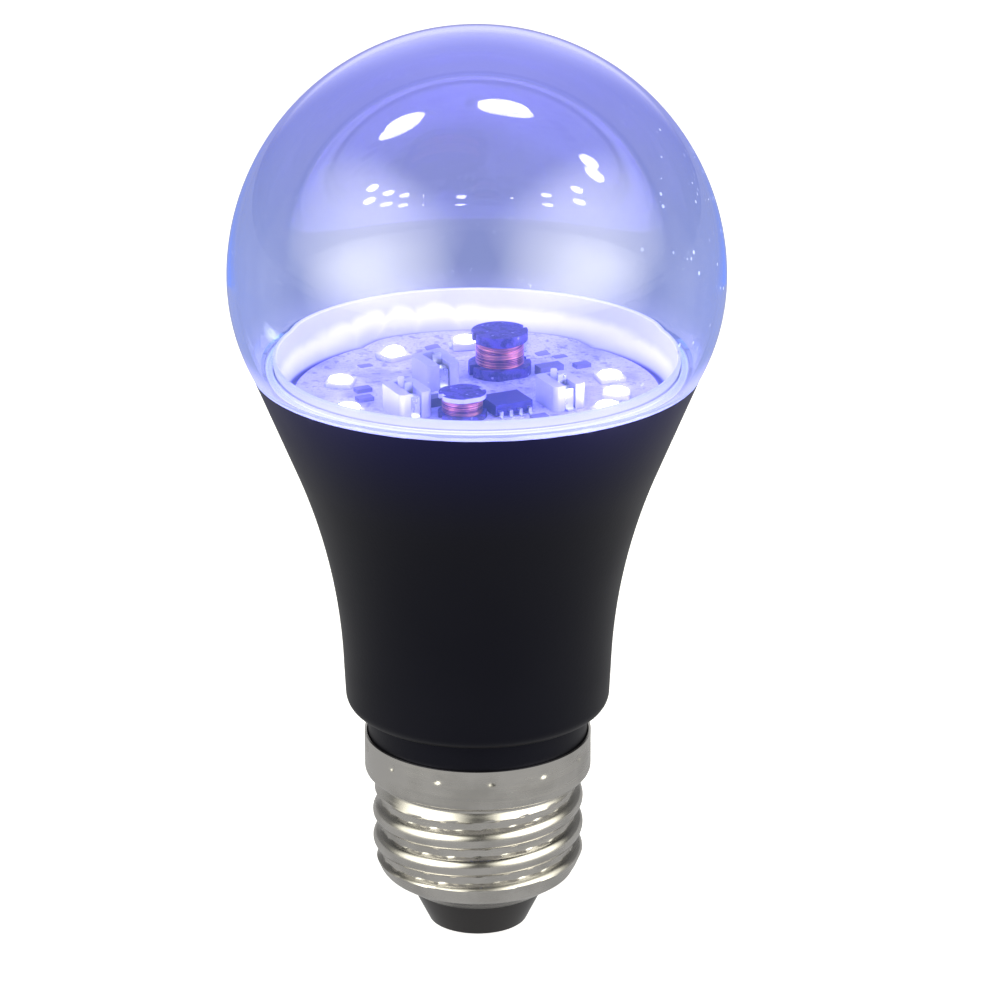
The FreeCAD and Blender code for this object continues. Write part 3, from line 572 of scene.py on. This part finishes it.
def board_finish():
    """Lamp board: white lacquer over copper islands, whose outlines follow the layout's
    turn, with a cloudy tone, small stains of flux and grit."""
    finish, tree, shader = new_finish("board_lacquer")
    place = place_of(tree)
    turn = add(tree, "ShaderNodeMapping", vector_type="TEXTURE")
    turn.inputs["Rotation"].default_value = (0.0, 0.0, LAYOUT)
    tree.links.new(place, turn.inputs["Vector"])
    island = add(tree, "ShaderNodeTexVoronoi", distance="CHEBYCHEV")
    tree.links.new(turn.outputs["Vector"], island.inputs["Vector"])
    island.inputs["Scale"].default_value = 260.0
    tint = add(tree, "ShaderNodeSeparateColor")
    tree.links.new(island.outputs["Color"], tint.inputs[0])
    base = blended(tree, tint.outputs[0], (0.50, 0.50, 0.51), (0.66, 0.66, 0.67))
    cloud = noise(tree, place, 220.0, 4.0)
    base = blended(tree, ranged(tree, cloud, 0.45, 0.70, 0.0, 0.6), base, (0.24, 0.23, 0.33))
    stain = noise(tree, place, 900.0, 3.0)
    base = blended(tree, ranged(tree, stain, 0.56, 0.68, 0.0, 0.7), base, (0.16, 0.15, 0.26))
    grit = noise(tree, place, 2600.0, 3.0, 0.7)
    base = blended(tree, ranged(tree, grit, 0.52, 0.66, 0.0, 0.55), base, (0.20, 0.18, 0.34))
    tree.links.new(base, shader.inputs["Base Color"])
    tree.links.new(ranged(tree, cloud, 0.3, 0.7, 0.3, 0.5), shader.inputs["Roughness"])
    dented(tree, shader, stain, 0.15, 0.0001)
    return finish


def lamp_lens_finish():
    """Lit lens: white hot over its crown, violet at its foot."""
    finish, tree, shader = new_finish(
        "lit_lens",
        Base_Color=(0.8, 0.8, 0.85, 1.0),
        Roughness=0.3,
        Emission_Strength=LENS_STRENGTH,
    )
    part = parted(tree, place_of(tree))
    crown = ranged(tree, part["Z"], 0.07095, 0.0713, 0.0, 1.0)
    hot = blended(tree, crown, (0.10, 0.08, 0.60), (0.97, 0.95, 1.0))
    tree.links.new(hot, shader.inputs["Emission Color"])
    return finish


def copper_finish():
    """Enamelled copper wire: warm metal with a tone that changes from turn to turn."""
    finish, tree, shader = new_finish("enamelled_copper", Metallic=1.0)
    place = place_of(tree)
    stretch = add(tree, "ShaderNodeMapping")
    stretch.inputs["Scale"].default_value = (120.0, 120.0, 8200.0)
    tree.links.new(place, stretch.inputs["Vector"])
    turns = noise(tree, stretch.outputs["Vector"], 1.0, 2.0)
    bright = ranged(tree, turns, 0.36, 0.64, 0.0, 1.0)
    base = blended(tree, bright, (0.18, 0.055, 0.19), (0.84, 0.34, 0.41))
    tree.links.new(base, shader.inputs["Base Color"])
    tree.links.new(ranged(tree, turns, 0.3, 0.7, 0.28, 0.42), shader.inputs["Roughness"])
    return finish


def brushed_metal_finish(name, tone, rough, streaks):
    """Drawn or plated metal: fine streaks round the axis and a cloudy tarnish."""
    finish, tree, shader = new_finish(name, Metallic=1.0)
    place = place_of(tree)
    stretch = add(tree, "ShaderNodeMapping")
    stretch.inputs["Scale"].default_value = streaks
    tree.links.new(place, stretch.inputs["Vector"])
    streak = noise(tree, stretch.outputs["Vector"], 1.0, 4.0)
    cloud = noise(tree, place, 180.0, 4.0)
    dark = tuple(channel * 0.72 for channel in tone)
    base = blended(tree, ranged(tree, cloud, 0.4, 0.75, 0.0, 0.8), tone, dark)
    tree.links.new(base, shader.inputs["Base Color"])
    mixed = plus(tree, times(tree, streak, 0.5), times(tree, cloud, 0.5))
    tree.links.new(ranged(tree, mixed, 0.3, 0.7, rough[0], rough[1]), shader.inputs["Roughness"])
    dented(tree, shader, streak, 0.06, 0.0001)
    return finish


def chip_finish():
    """Driver chip: dark moulding, and tinned leads where the side is passed."""
    dark = (0.050, 0.036, 0.16)
    finish, tree, shader, made = moulded_finish("chip_mould", dark, 5000.0, 0.2, (0.4, 0.55))
    turn = add(tree, "ShaderNodeMapping", vector_type="TEXTURE")
    turn.inputs["Location"].default_value = (3.5 * MM, -6.3 * MM, 0.0)
    turn.inputs["Rotation"].default_value = (0.0, 0.0, LAYOUT)
    tree.links.new(place_of(tree), turn.inputs["Vector"])
    side = math_node(tree, "ABSOLUTE", parted(tree, turn.outputs["Vector"])["Y"])
    lead = ranged(tree, side, 0.00211, 0.00214, 0.0, 1.0, smooth=False)
    base = blended(tree, lead, made["Color"], (0.80, 0.81, 0.83))
    tree.links.new(base, shader.inputs["Base Color"])
    tree.links.new(lead, shader.inputs["Metallic"])
    return finish


def ferrite_finish(name, painted_highlight_band=None):
    """Ferrite: mottled dark sintered grain with a few bright grains, and on the small
    choke a painted highlight band on the side of its top flange."""
    tone = (0.080, 0.050, 0.23)
    finish, tree, shader, made = moulded_finish(name, tone, 2500.0, 0.6, (0.36, 0.6))
    mottle = ranged(tree, noise(tree, place_of(tree), 1100.0, 4.0, 0.7), 0.46, 0.58, 0.0, 0.85)
    base = blended(tree, mottle, made["Color"], (0.016, 0.008, 0.050))
    grains = use_group(tree, SPECKS, Scale=1600.0, Size=0.28, Share=0.16)["Mask"]
    base = blended(tree, grains, base, (0.26, 0.24, 0.42))
    # painted highlight: a pale band along the side of the small choke's top flange
    if painted_highlight_band:
        level = parted(tree, place_of(tree))["Z"]
        over = ranged(tree, level, painted_highlight_band[0], painted_highlight_band[0] + 0.00004, 0.0, 1.0)
        under = ranged(tree, level, painted_highlight_band[1], painted_highlight_band[1] + 0.00004, 1.0, 0.0)
        base = blended(tree, times(tree, over, under), base, (0.55, 0.56, 0.62))
    tree.links.new(base, shader.inputs["Base Color"])
    return finish


CLEAR_GLOBE = globe_finish()
BLACK_HOUSING = housing_finish()
DISH = dish_finish()
BOARD = board_finish()
LENS = lamp_lens_finish()
COPPER = copper_finish()
NICKEL = brushed_metal_finish(
    "nickel_cap",
    tone=(0.70, 0.68, 0.65),
    rough=(0.16, 0.34),
    streaks=(60.0, 60.0, 2400.0),
)
CONTACT = brushed_metal_finish(
    "contact_metal",
    tone=(0.62, 0.58, 0.52),
    rough=(0.28, 0.45),
    streaks=(900.0, 900.0, 200.0),
)
TINNED = brushed_metal_finish(
    "tinned_clip",
    tone=(0.78, 0.79, 0.82),
    rough=(0.2, 0.4),
    streaks=(900.0, 900.0, 900.0),
)
SILICONE = moulded_finish("white_silicone", (0.80, 0.80, 0.84), 800.0, 0.4, (0.3, 0.5))[0]
LED_BASE = moulded_finish("lamp_base_ceramic", (0.60, 0.60, 0.62), 3000.0, 0.1, (0.35, 0.5))[0]
FERRITE = ferrite_finish("dark_ferrite")
SMALL_FERRITE = ferrite_finish("small_choke_ferrite", painted_highlight_band=(0.07281, 0.07336))
CHIP = chip_finish()
TERMINAL = moulded_finish("terminal_white", (0.50, 0.50, 0.52), 2600.0, 0.12, (0.3, 0.45))[0]
SMALL_PART = moulded_finish("component_body", (0.16, 0.15, 0.17), 4000.0, 0.25, (0.4, 0.55))[0]
INSULATOR = moulded_finish("black_insulator", (0.02, 0.018, 0.02), 900.0, 0.1, (0.12, 0.28))[0]
LEAD = moulded_finish("white_lead", (0.80, 0.80, 0.82), 2000.0, 0.1, (0.3, 0.45))[0]
BARE_PAD = moulded_finish("bare_pad", (0.20, 0.19, 0.26), 3000.0, 0.15, (0.35, 0.5))[0]


# Globe, housing and cap


def draw_circle_of_foot():
    """Centre and radius of the globe's arc below its widest line, which is upright
    there and meets the rim: R = (inset^2 + rise^2) / (2 inset)."""
    inset = GLOBE - RIM
    rise = EQUATOR - RIM_LEVEL
    radius = (inset**2 + rise**2) / (2 * inset)
    return GLOBE - radius, radius


def make_globe():
    """Globe: one closed lathe from the inner pole down to the foot and up the outside. The
    outside is a ball and the inner wall an ellipse, with its widest line a little higher."""
    centre, radius = draw_circle_of_foot()
    inner = GLOBE - GLOBE_WALL
    ledge = math.degrees(math.asin((EQUATOR - LEDGE_LEVEL) / (radius - GLOBE_WALL)))
    rim = math.degrees(math.asin((EQUATOR - RIM_LEVEL) / radius))
    inside = arc((0.0, INNER_EQUATOR), inner, 90.0, 0.0, 70, INNER_HALF_HEIGHT)
    inside_low = arc((centre, EQUATOR), radius - GLOBE_WALL, 0.0, -ledge, 24)[1:]
    foot = [
        inside_low[-1],
        (25.0, LEDGE_LEVEL),
        (25.0, FOOT_LEVEL),
        (25.75, FOOT_LEVEL),
        (25.75, RIM_LEVEL),
        (RIM, RIM_LEVEL),
    ]
    foot = eased(foot, 0.12)[1:-1]
    outside_low = arc((centre, EQUATOR), radius, -rim, 0.0, 24)
    outside = arc((0.0, EQUATOR), GLOBE, 0.0, 90.0, 70)[1:]
    profile = np.concatenate((inside, inside_low, foot, outside_low, outside))
    profile[[0, -1], 0] = 0.0
    grid = around(profile, 240)
    skin = closed_skin(grid)
    make_piece("globe_glass", [(skin, 0)], [CLEAR_GLOBE], "clear_globe", "globe")


def bites(angle, seed, count, depth):
    """Small nicks along a moulded edge: a sum of narrow bells at seeded angles."""
    maker = np.random.default_rng(seed)
    place = maker.uniform(0.0, TURN, count)
    width = np.radians(maker.uniform(0.35, 1.3, count))
    size = maker.uniform(0.3, 1.0, count) * depth
    away = np.angle(np.exp(1j * (angle[:, None] - place[None, :])))
    return (size * np.exp(-((away / width) ** 2))).sum(axis=1)


def make_housing():
    """Housing: closed lathe of neck, rounded bottom, flare and groove. The flare is two
    lines with one arc tangent to both, and the rim's edge is nicked by small bells."""
    taper = math.radians(2.0)
    foot = 16.35
    rise = 19.0
    reach = 13.4
    corner_r = foot + rise * math.tan(taper)
    corner_z = BODY_LOW + rise
    slope = math.atan((RIM - corner_r) / (RIM_LEVEL - corner_z))
    radius = reach / math.tan((slope - taper) / 2)
    low = (corner_r - reach * math.sin(taper), corner_z - reach * math.cos(taper))
    hub = (low[0] + radius * math.cos(taper), low[1] - radius * math.sin(taper))
    bottom = arc((14.55, 31.8), 1.8, -90.0, -2.0, 14)
    flare = arc(hub, radius, 178.0, 180.0 - math.degrees(slope), 60)
    neck = [(13.65, 21.9), (13.65, 29.8), (13.75, BODY_LOW)]
    lip = [(26.9, 73.09), (27.09, 73.55), (27.11, 73.68), (27.02, RIM_LEVEL)]
    inner = [
        (25.95, RIM_LEVEL),
        (25.85, 73.6),
        (25.85, GROOVE_LEVEL),
        (24.66, GROOVE_LEVEL),
        (24.35, DISH_LOW),
        (22.35, DISH_LOW),
        (11.85, 36.0),
        (11.85, 21.8),
        (11.95, 21.7),
        (13.55, 21.7),
    ]
    profile = finer(np.concatenate((neck, bottom, flare, lip, inner)), 1.2)
    grid = around(profile, 360)
    nick = bites(once_round(360), seed=7, count=46, depth=0.22)
    edge = np.clip((profile[:, 1] - 73.3) / 0.35, 0.0, 1.0) * (profile[:, 0] > 26.4)
    grid[:, :, 2] -= edge[:, None] * nick[None, :]
    skin = closed_skin(grid, wrap_rows=True)
    make_piece("housing_shell", [(skin, 0)], [BLACK_HOUSING], "black_housing", "housing")


def thread_height(angle, level):
    """Height of the rolled thread over the wall: the crest is a circle of 1.36 mm about
    a helix, cut by a cone at each end so that it runs out, and its foot is eased."""
    first = 6.65
    crest_radius = 1.359
    sunk = 0.36
    run_out = 2.4
    away = (level - first) / THREAD_PITCH - (angle - CAP_TURN) / TURN
    away = (away - np.round(away)) * THREAD_PITCH
    crest = np.sqrt(np.clip(crest_radius**2 - away**2, 0.0, None)) - sunk
    soft = 0.5 * (crest + np.sqrt(crest**2 + 0.012))
    ends = np.minimum(level - THREAD_LOW, THREAD_HIGH - level) / run_out
    return np.clip(np.minimum(soft, ends), 0.0, 1.0)


def make_cap():
    """Screw cap: lathe of the wall with the helical thread added to its radius, and a
    ring of thirteen round dimples, each a bell in angle and height, on the collar."""
    wall = [
        (8.5, CAP_MOUTH),
        (CAP_WALL, THREAD_LOW),
        (CAP_WALL, THREAD_HIGH),
        (COLLAR, COLLAR_LOW),
        (COLLAR, CAP_RIM),
    ]
    wall = finer(eased(wall, 0.5), 0.16)
    inside = [
        (COLLAR, CAP_RIM),
        (13.75, CAP_RIM),
        (13.75, 21.58),
        (11.8, 20.68),
        (11.8, 8.18),
        (8.5, 5.85),
    ]
    inside = finer(eased(inside, 0.12)[1:], 1.5)
    profile = np.concatenate((wall[:-1], inside))
    grid = around(profile, 300)
    angle = once_round(300)[None, :]
    outer = (np.arange(len(profile)) < len(wall) - 1)[:, None]
    level = profile[:, 1][:, None]
    rise = thread_height(angle, level) * outer * (level > THREAD_LOW) * (level < THREAD_HIGH)
    step = TURN / CRIMPS
    start = CAP_TURN - TURN / 4
    off = (angle - start + step / 2) % step - step / 2
    dimple = ((off * COLLAR) ** 2 + (level - CRIMP_LEVEL) ** 2) / CRIMP_RADIUS**2
    rise = rise - CRIMP_DEPTH * np.exp(-(dimple**2)) * outer * (level > COLLAR_LOW)
    push = 1.0 + rise / profile[:, 0][:, None]
    grid[:, :, 0] *= push
    grid[:, :, 1] *= push
    skin = closed_skin(grid, wrap_rows=True)
    make_piece("screw_cap", [(skin, 0)], [NICKEL], "nickel_cap", "cap_shell")


def make_dish():
    """Dish: closed lathe of floor and leaning wall, with a rounded edge that the finish paints
    bright as a painted highlight.
    """
    section = [
        (0.0, DISH_LOW),
        (24.25, DISH_LOW),
        (24.85, DISH_EDGE),
        (24.35, DISH_EDGE),
        (23.75, DISH_FLOOR),
        (0.0, DISH_FLOOR),
    ]
    profile = finer(eased(section, 0.22), 0.7)
    grid = around(profile, 240)
    make_piece("dish", [(closed_skin(grid), 0)], [DISH], "bare_aluminium", "heat_sink_dish")


def make_seal():
    """Seal: a closed lathe whose top swells and sinks by slow waves, as a laid bead does."""
    section = [
        (24.62, 72.35),
        (25.78, 72.32),
        (25.78, 72.58),
        (24.93, 72.58),
        (24.93, 74.3),
        (24.81, 74.3),
    ]
    profile = finer(eased(section, 0.06, closed=True), 0.4)
    grid = around(profile, 240)
    angle = once_round(240)
    wave = 0.05 * np.sin(9 * angle + 0.4)
    wave = wave + 0.05 * np.sin(23 * angle)
    wave = wave + 0.04 * np.sin(41 * angle + 1.0)
    grid[:, :, 2] += np.where(profile[:, 1] > 73.9, 1.0, 0.0)[:, None] * (wave - 0.14)
    skin = closed_skin(grid, wrap_rows=True)
    make_piece("silicone_bead", [(skin, 0)], [SILICONE], "white_silicone", "globe_seal")


# Parts on the board


def led_place(degrees):
    """A lamp's turn, and its x and y on the ring."""
    turn = math.radians(degrees)
    return turn, LED_RING * math.cos(turn), LED_RING * math.sin(turn)


def make_led(number, degrees):
    """Lamp: a rounded square base and a shallow lens, whose radius goes with the cosine and
    whose height goes with the sine of one angle."""
    turn, x, y = led_place(degrees)
    base = soft_plate(1.7, 1.7, 0.0, LED_BASE_HEIGHT, 0.25, 0.08)
    dome = arc((0.0, LED_BASE_HEIGHT), LENS_RADIUS, 0.0, 90.0, 16, LENS_HEIGHT)
    profile = np.concatenate(([(0.0, 0.55), (LENS_RADIUS, 0.55)], dome))
    profile[-1, 0] = 0.0
    lens = around(profile, 40)
    skins = [
        (closed_skin(put(base, x, y, turn, BOARD_TOP)), 0),
        (closed_skin(put(lens, x, y, turn, BOARD_TOP)), 1),
    ]
    make_piece(f"lamp_{number}", skins, [LED_BASE, LENS], "lit_led", f"led_{number}")


def make_winding(name, place, radius, low, high, turns):
    """Winding: a closed lathe whose outside is ridged along a helix. The ridge is the
    wire's own half circle, sqrt(1 - (2 d / p)^2), with d the distance to the wire."""
    pitch = (high - low) / turns
    level = np.linspace(low, high, turns * 10 + 1)
    angle = once_round(96)
    away = (level[:, None] - low) / pitch - angle[None, :] / TURN
    away = (away - np.round(away)) * 2.0
    ridge = np.sqrt(np.clip(1.0 - away**2, 0.0, None))
    reach = radius - pitch * 0.5 * (1.0 - ridge)
    bore = np.full((1, 96), radius - 0.9)
    reach = np.concatenate((bore, reach, bore))
    tall = np.concatenate(([low], level, [high]))[:, None] + 0.0 * angle
    grid = np.stack((reach * np.cos(angle), reach * np.sin(angle), tall), axis=-1)
    skin = closed_skin(put(grid, *place), wrap_rows=True)
    make_piece(name + "_copper", [(skin, 0)], [COPPER], "copper_wire", name)


def make_pads():
    """Solder: a thin rounded plate on either side of each lamp."""
    plate = soft_plate(0.3, 0.9, -0.02, 0.10, 0.2, 0.05)
    skins = []
    for degrees in LED_ANGLES:
        turn, x, y = led_place(degrees)
        for side in (-1.85, 1.85):
            grid = put(put(plate, side, 0.0), x, y, turn + TURN / 4, BOARD_TOP)
            skins.append((closed_skin(grid), 0))
    make_piece("lamp_solder", skins, [TINNED], "tinned_clip")


def make_bare_pads():
    """Bare pads: thin dark plates where no part is fitted."""
    places = [(53.0, 17.2), (61.0, 17.0), (109.0, 17.2), (144.0, 17.2)]
    plate = soft_plate(0.9, 0.6, -0.02, 0.05, 0.15, 0.03)
    skins = []
    for degrees, reach in places:
        turn = math.radians(degrees)
        grid = put(plate, reach * math.cos(turn), reach * math.sin(turn), LAYOUT, BOARD_TOP)
        skins.append((closed_skin(grid), 0))
    make_piece("bare_pads", skins, [BARE_PAD], "component_body")


make_globe()
make_housing()
make_cap()
make_dish()
make_seal()
for number, degrees in enumerate(LED_ANGLES, start=1):
    make_led(number, degrees)
make_winding("large_choke_winding", (2.8, 7.8), radius=3.0, low=71.75, high=74.25, turns=12)
make_winding("small_choke_winding", (-1.75, -8.3), radius=2.45, low=71.05, high=72.75, turns=9)
make_pads()
make_bare_pads()

KEPT = {
    "cap_insulator": INSULATOR,
    "centre_contact": CONTACT,
    "led_board": BOARD,
    "large_choke_core": FERRITE,
    "small_choke_core": SMALL_FERRITE,
    "driver_chip": CHIP,
    "right_terminal_block": TERMINAL,
    "front_left_terminal_block": TERMINAL,
    "back_left_terminal_block": TERMINAL,
    "right_terminal_clip": TINNED,
    "front_left_terminal_clip": TINNED,
    "back_left_terminal_clip": TINNED,
    "diode": SMALL_PART,
    "capacitor": SMALL_PART,
    "resistor_1": SMALL_PART,
    "resistor_2": SMALL_PART,
    "resistor_3": SMALL_PART,
    "resistor_4": SMALL_PART,
    "live_wire": LEAD,
    "neutral_wire": LEAD,
}
for node, finish in KEPT.items():
    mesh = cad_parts[node].data
    mesh.materials.clear()
    mesh.materials.append(finish)


# Floor, light and camera


def make_floor():
    """Floor: a large pale plane under the contact, brighter for the camera and a little
    brighter in mirrors than as a source of light."""
    mesh = bpy.data.meshes.new("floor")
    half = 4.0
    points = [(-half, -half, 0.0), (half, -half, 0.0), (half, half, 0.0), (-half, half, 0.0)]
    mesh.from_pydata(points, [], [(0, 1, 2, 3)])
    finish, tree, shader = new_finish("pale_floor", Roughness=0.9, Specular_IOR_Level=0.0)
    path = add(tree, "ShaderNodeLightPath")
    seen = path.outputs["Is Camera Ray"]
    tone = blended(tree, seen, (0.05, 0.05, 0.05), (0.9, 0.9, 0.9))
    tree.links.new(tone, shader.inputs["Base Color"])
    shader.inputs["Emission Color"].default_value = (1.0, 1.0, 1.0, 1.0)
    glossy = path.outputs["Is Glossy Ray"]
    through = path.outputs["Is Transmission Ray"]
    mirrored = math_node(tree, "SUBTRACT", glossy, through, clamp=True)
    level = plus(tree, times(tree, seen, 0.58), times(tree, mirrored, 0.18))
    tree.links.new(plus(tree, level, 0.22), shader.inputs["Emission Strength"])
    mesh.materials.append(finish)
    floor = bpy.data.objects.new("floor", mesh)
    bpy.context.scene.collection.objects.link(floor)


def aim(thing, target):
    """Point an object's -Z at a target."""
    thing.rotation_mode = "QUATERNION"
    thing.rotation_quaternion = (Vector(target) - thing.location).to_track_quat("-Z", "Y")


def make_softbox(name, place):
    """Softbox: an area light whose cloth fades from its middle to its edges, and which is
    dim where it would be seen straight through the globe."""
    width, height = SOFTBOX_SIZE
    light = bpy.data.lights.new(name, "AREA")
    light.shape = "RECTANGLE"
    light.size = width
    light.size_y = height
    light.energy = SOFTBOX_RADIANCE * math.pi * width * height
    light.color = SOFTBOX_COLOUR
    light.use_nodes = True
    tree = light.node_tree
    across = parted(tree, add(tree, "ShaderNodeNewGeometry").outputs["Parametric"])
    side = math_node(tree, "ABSOLUTE", minus(tree, across["X"], 0.5))
    up = math_node(tree, "ABSOLUTE", minus(tree, across["Y"], 0.5))
    fade = ranged(tree, side, 0.06, 0.5, 1.0, 0.0, smooth=False)
    fade = times(tree, fade, ranged(tree, up, 0.16, 0.5, 1.0, 0.0))
    path = add(tree, "ShaderNodeLightPath").outputs
    turned = minus(tree, path["Ray Depth"], path["Transmission Depth"])
    straight = math_node(tree, "LESS_THAN", turned, 0.5)
    behind = math_node(tree, "GREATER_THAN", path["Transmission Depth"], 0.5)
    behind = times(tree, behind, straight)
    shown = minus(tree, 1.0, times(tree, behind, 0.9))
    fade = times(tree, fade, shown)
    tree.links.new(fade, tree.nodes["Emission"].inputs["Strength"])
    box = bpy.data.objects.new(name, light)
    box.location = place
    bpy.context.scene.collection.objects.link(box)
    aim(box, GLOBE_MIDDLE)
    box.visible_camera = False


def make_glow(name, place, power, size):
    """Lamp light: a small violet source that lights its surroundings and isn't seen."""
    light = bpy.data.lights.new(name, "POINT")
    light.energy = power
    light.color = GLOW_COLOUR
    light.shadow_soft_size = size
    glow = bpy.data.objects.new(name, light)
    glow.location = place
    bpy.context.scene.collection.objects.link(glow)
    glow.visible_camera = False
    glow.visible_glossy = False
    glow.visible_transmission = False


def make_world():
    """World: white where the camera looks past the lamp, a grey room for the light."""
    world = bpy.data.worlds.new("studio")
    bpy.context.scene.world = world
    world.use_nodes = True
    tree = world.node_tree
    sky = tree.nodes["Background"]
    sky.inputs["Color"].default_value = (1.0, 1.0, 1.0, 1.0)
    seen = add(tree, "ShaderNodeLightPath").outputs["Is Camera Ray"]
    way = parted(tree, add(tree, "ShaderNodeTexCoord").outputs["Generated"])
    back = ranged(tree, way["Y"], 0.0, 0.6, 0.1, 1.0)
    aside = math_node(tree, "ABSOLUTE", way["X"])
    middle = ranged(tree, aside, 0.15, 0.5, 1.0, 0.25)
    level = ranged(tree, way["Z"], 0.2, 0.75, 0.72, 0.2)
    room = times(tree, times(tree, back, middle), level)
    tree.links.new(math_node(tree, "MAXIMUM", seen, room), sky.inputs["Strength"])


def make_camera():
    """Camera: at the photograph's angle, looking down on the lamp."""
    lens = bpy.data.cameras.new("camera")
    lens.sensor_width = 36.0
    lens.lens = FOCAL_LENGTH
    lens.clip_start = 0.01
    camera = bpy.data.objects.new("camera", lens)
    camera.location = CAMERA_PLACE
    camera.rotation_euler = (math.radians(90.0 - CAMERA_PITCH), 0.0, math.radians(CAMERA_YAW))
    bpy.context.scene.collection.objects.link(camera)
    bpy.context.scene.camera = camera


def make_bloom():
    """Bloom: the lit lenses alone pass the threshold and bleed a little violet light."""
    scene = bpy.context.scene
    scene.use_nodes = True
    tree = scene.node_tree
    tree.nodes.clear()
    layers = add(tree, "CompositorNodeRLayers", scene=scene)
    glare = add(tree, "CompositorNodeGlare", glare_type="BLOOM", quality="HIGH")
    glare.inputs["Threshold"].default_value = 2.0
    glare.inputs["Strength"].default_value = 0.16
    glare.inputs["Size"].default_value = 0.2
    glare.inputs["Tint"].default_value = (0.62, 0.58, 1.0, 1.0)
    out = add(tree, "CompositorNodeComposite")
    tree.links.new(layers.outputs["Image"], glare.inputs["Image"])
    tree.links.new(glare.outputs["Image"], out.inputs["Image"])


make_floor()
make_world()
for name, place in SOFTBOX_PLACES.items():
    make_softbox(name, place)
for number, degrees in enumerate(LED_ANGLES, start=1):
    x, y = led_place(degrees)[1:]
    spot = (x * MM, y * MM, (BOARD_TOP + GLOW_RISE) * MM)
    make_glow(f"lamp_glow_{number}", spot, power=LAMP_GLOW, size=0.001)
make_glow("globe_glow", (0.0, 0.0, 0.098), power=GLOBE_GLOW, size=0.012)
make_camera()
make_bloom()
bpy.context.scene.view_settings.view_transform = "Standard"
paths = bpy.context.scene.cycles
paths.max_bounces = 8
paths.diffuse_bounces = 2
paths.sample_clamp_indirect = 20.0
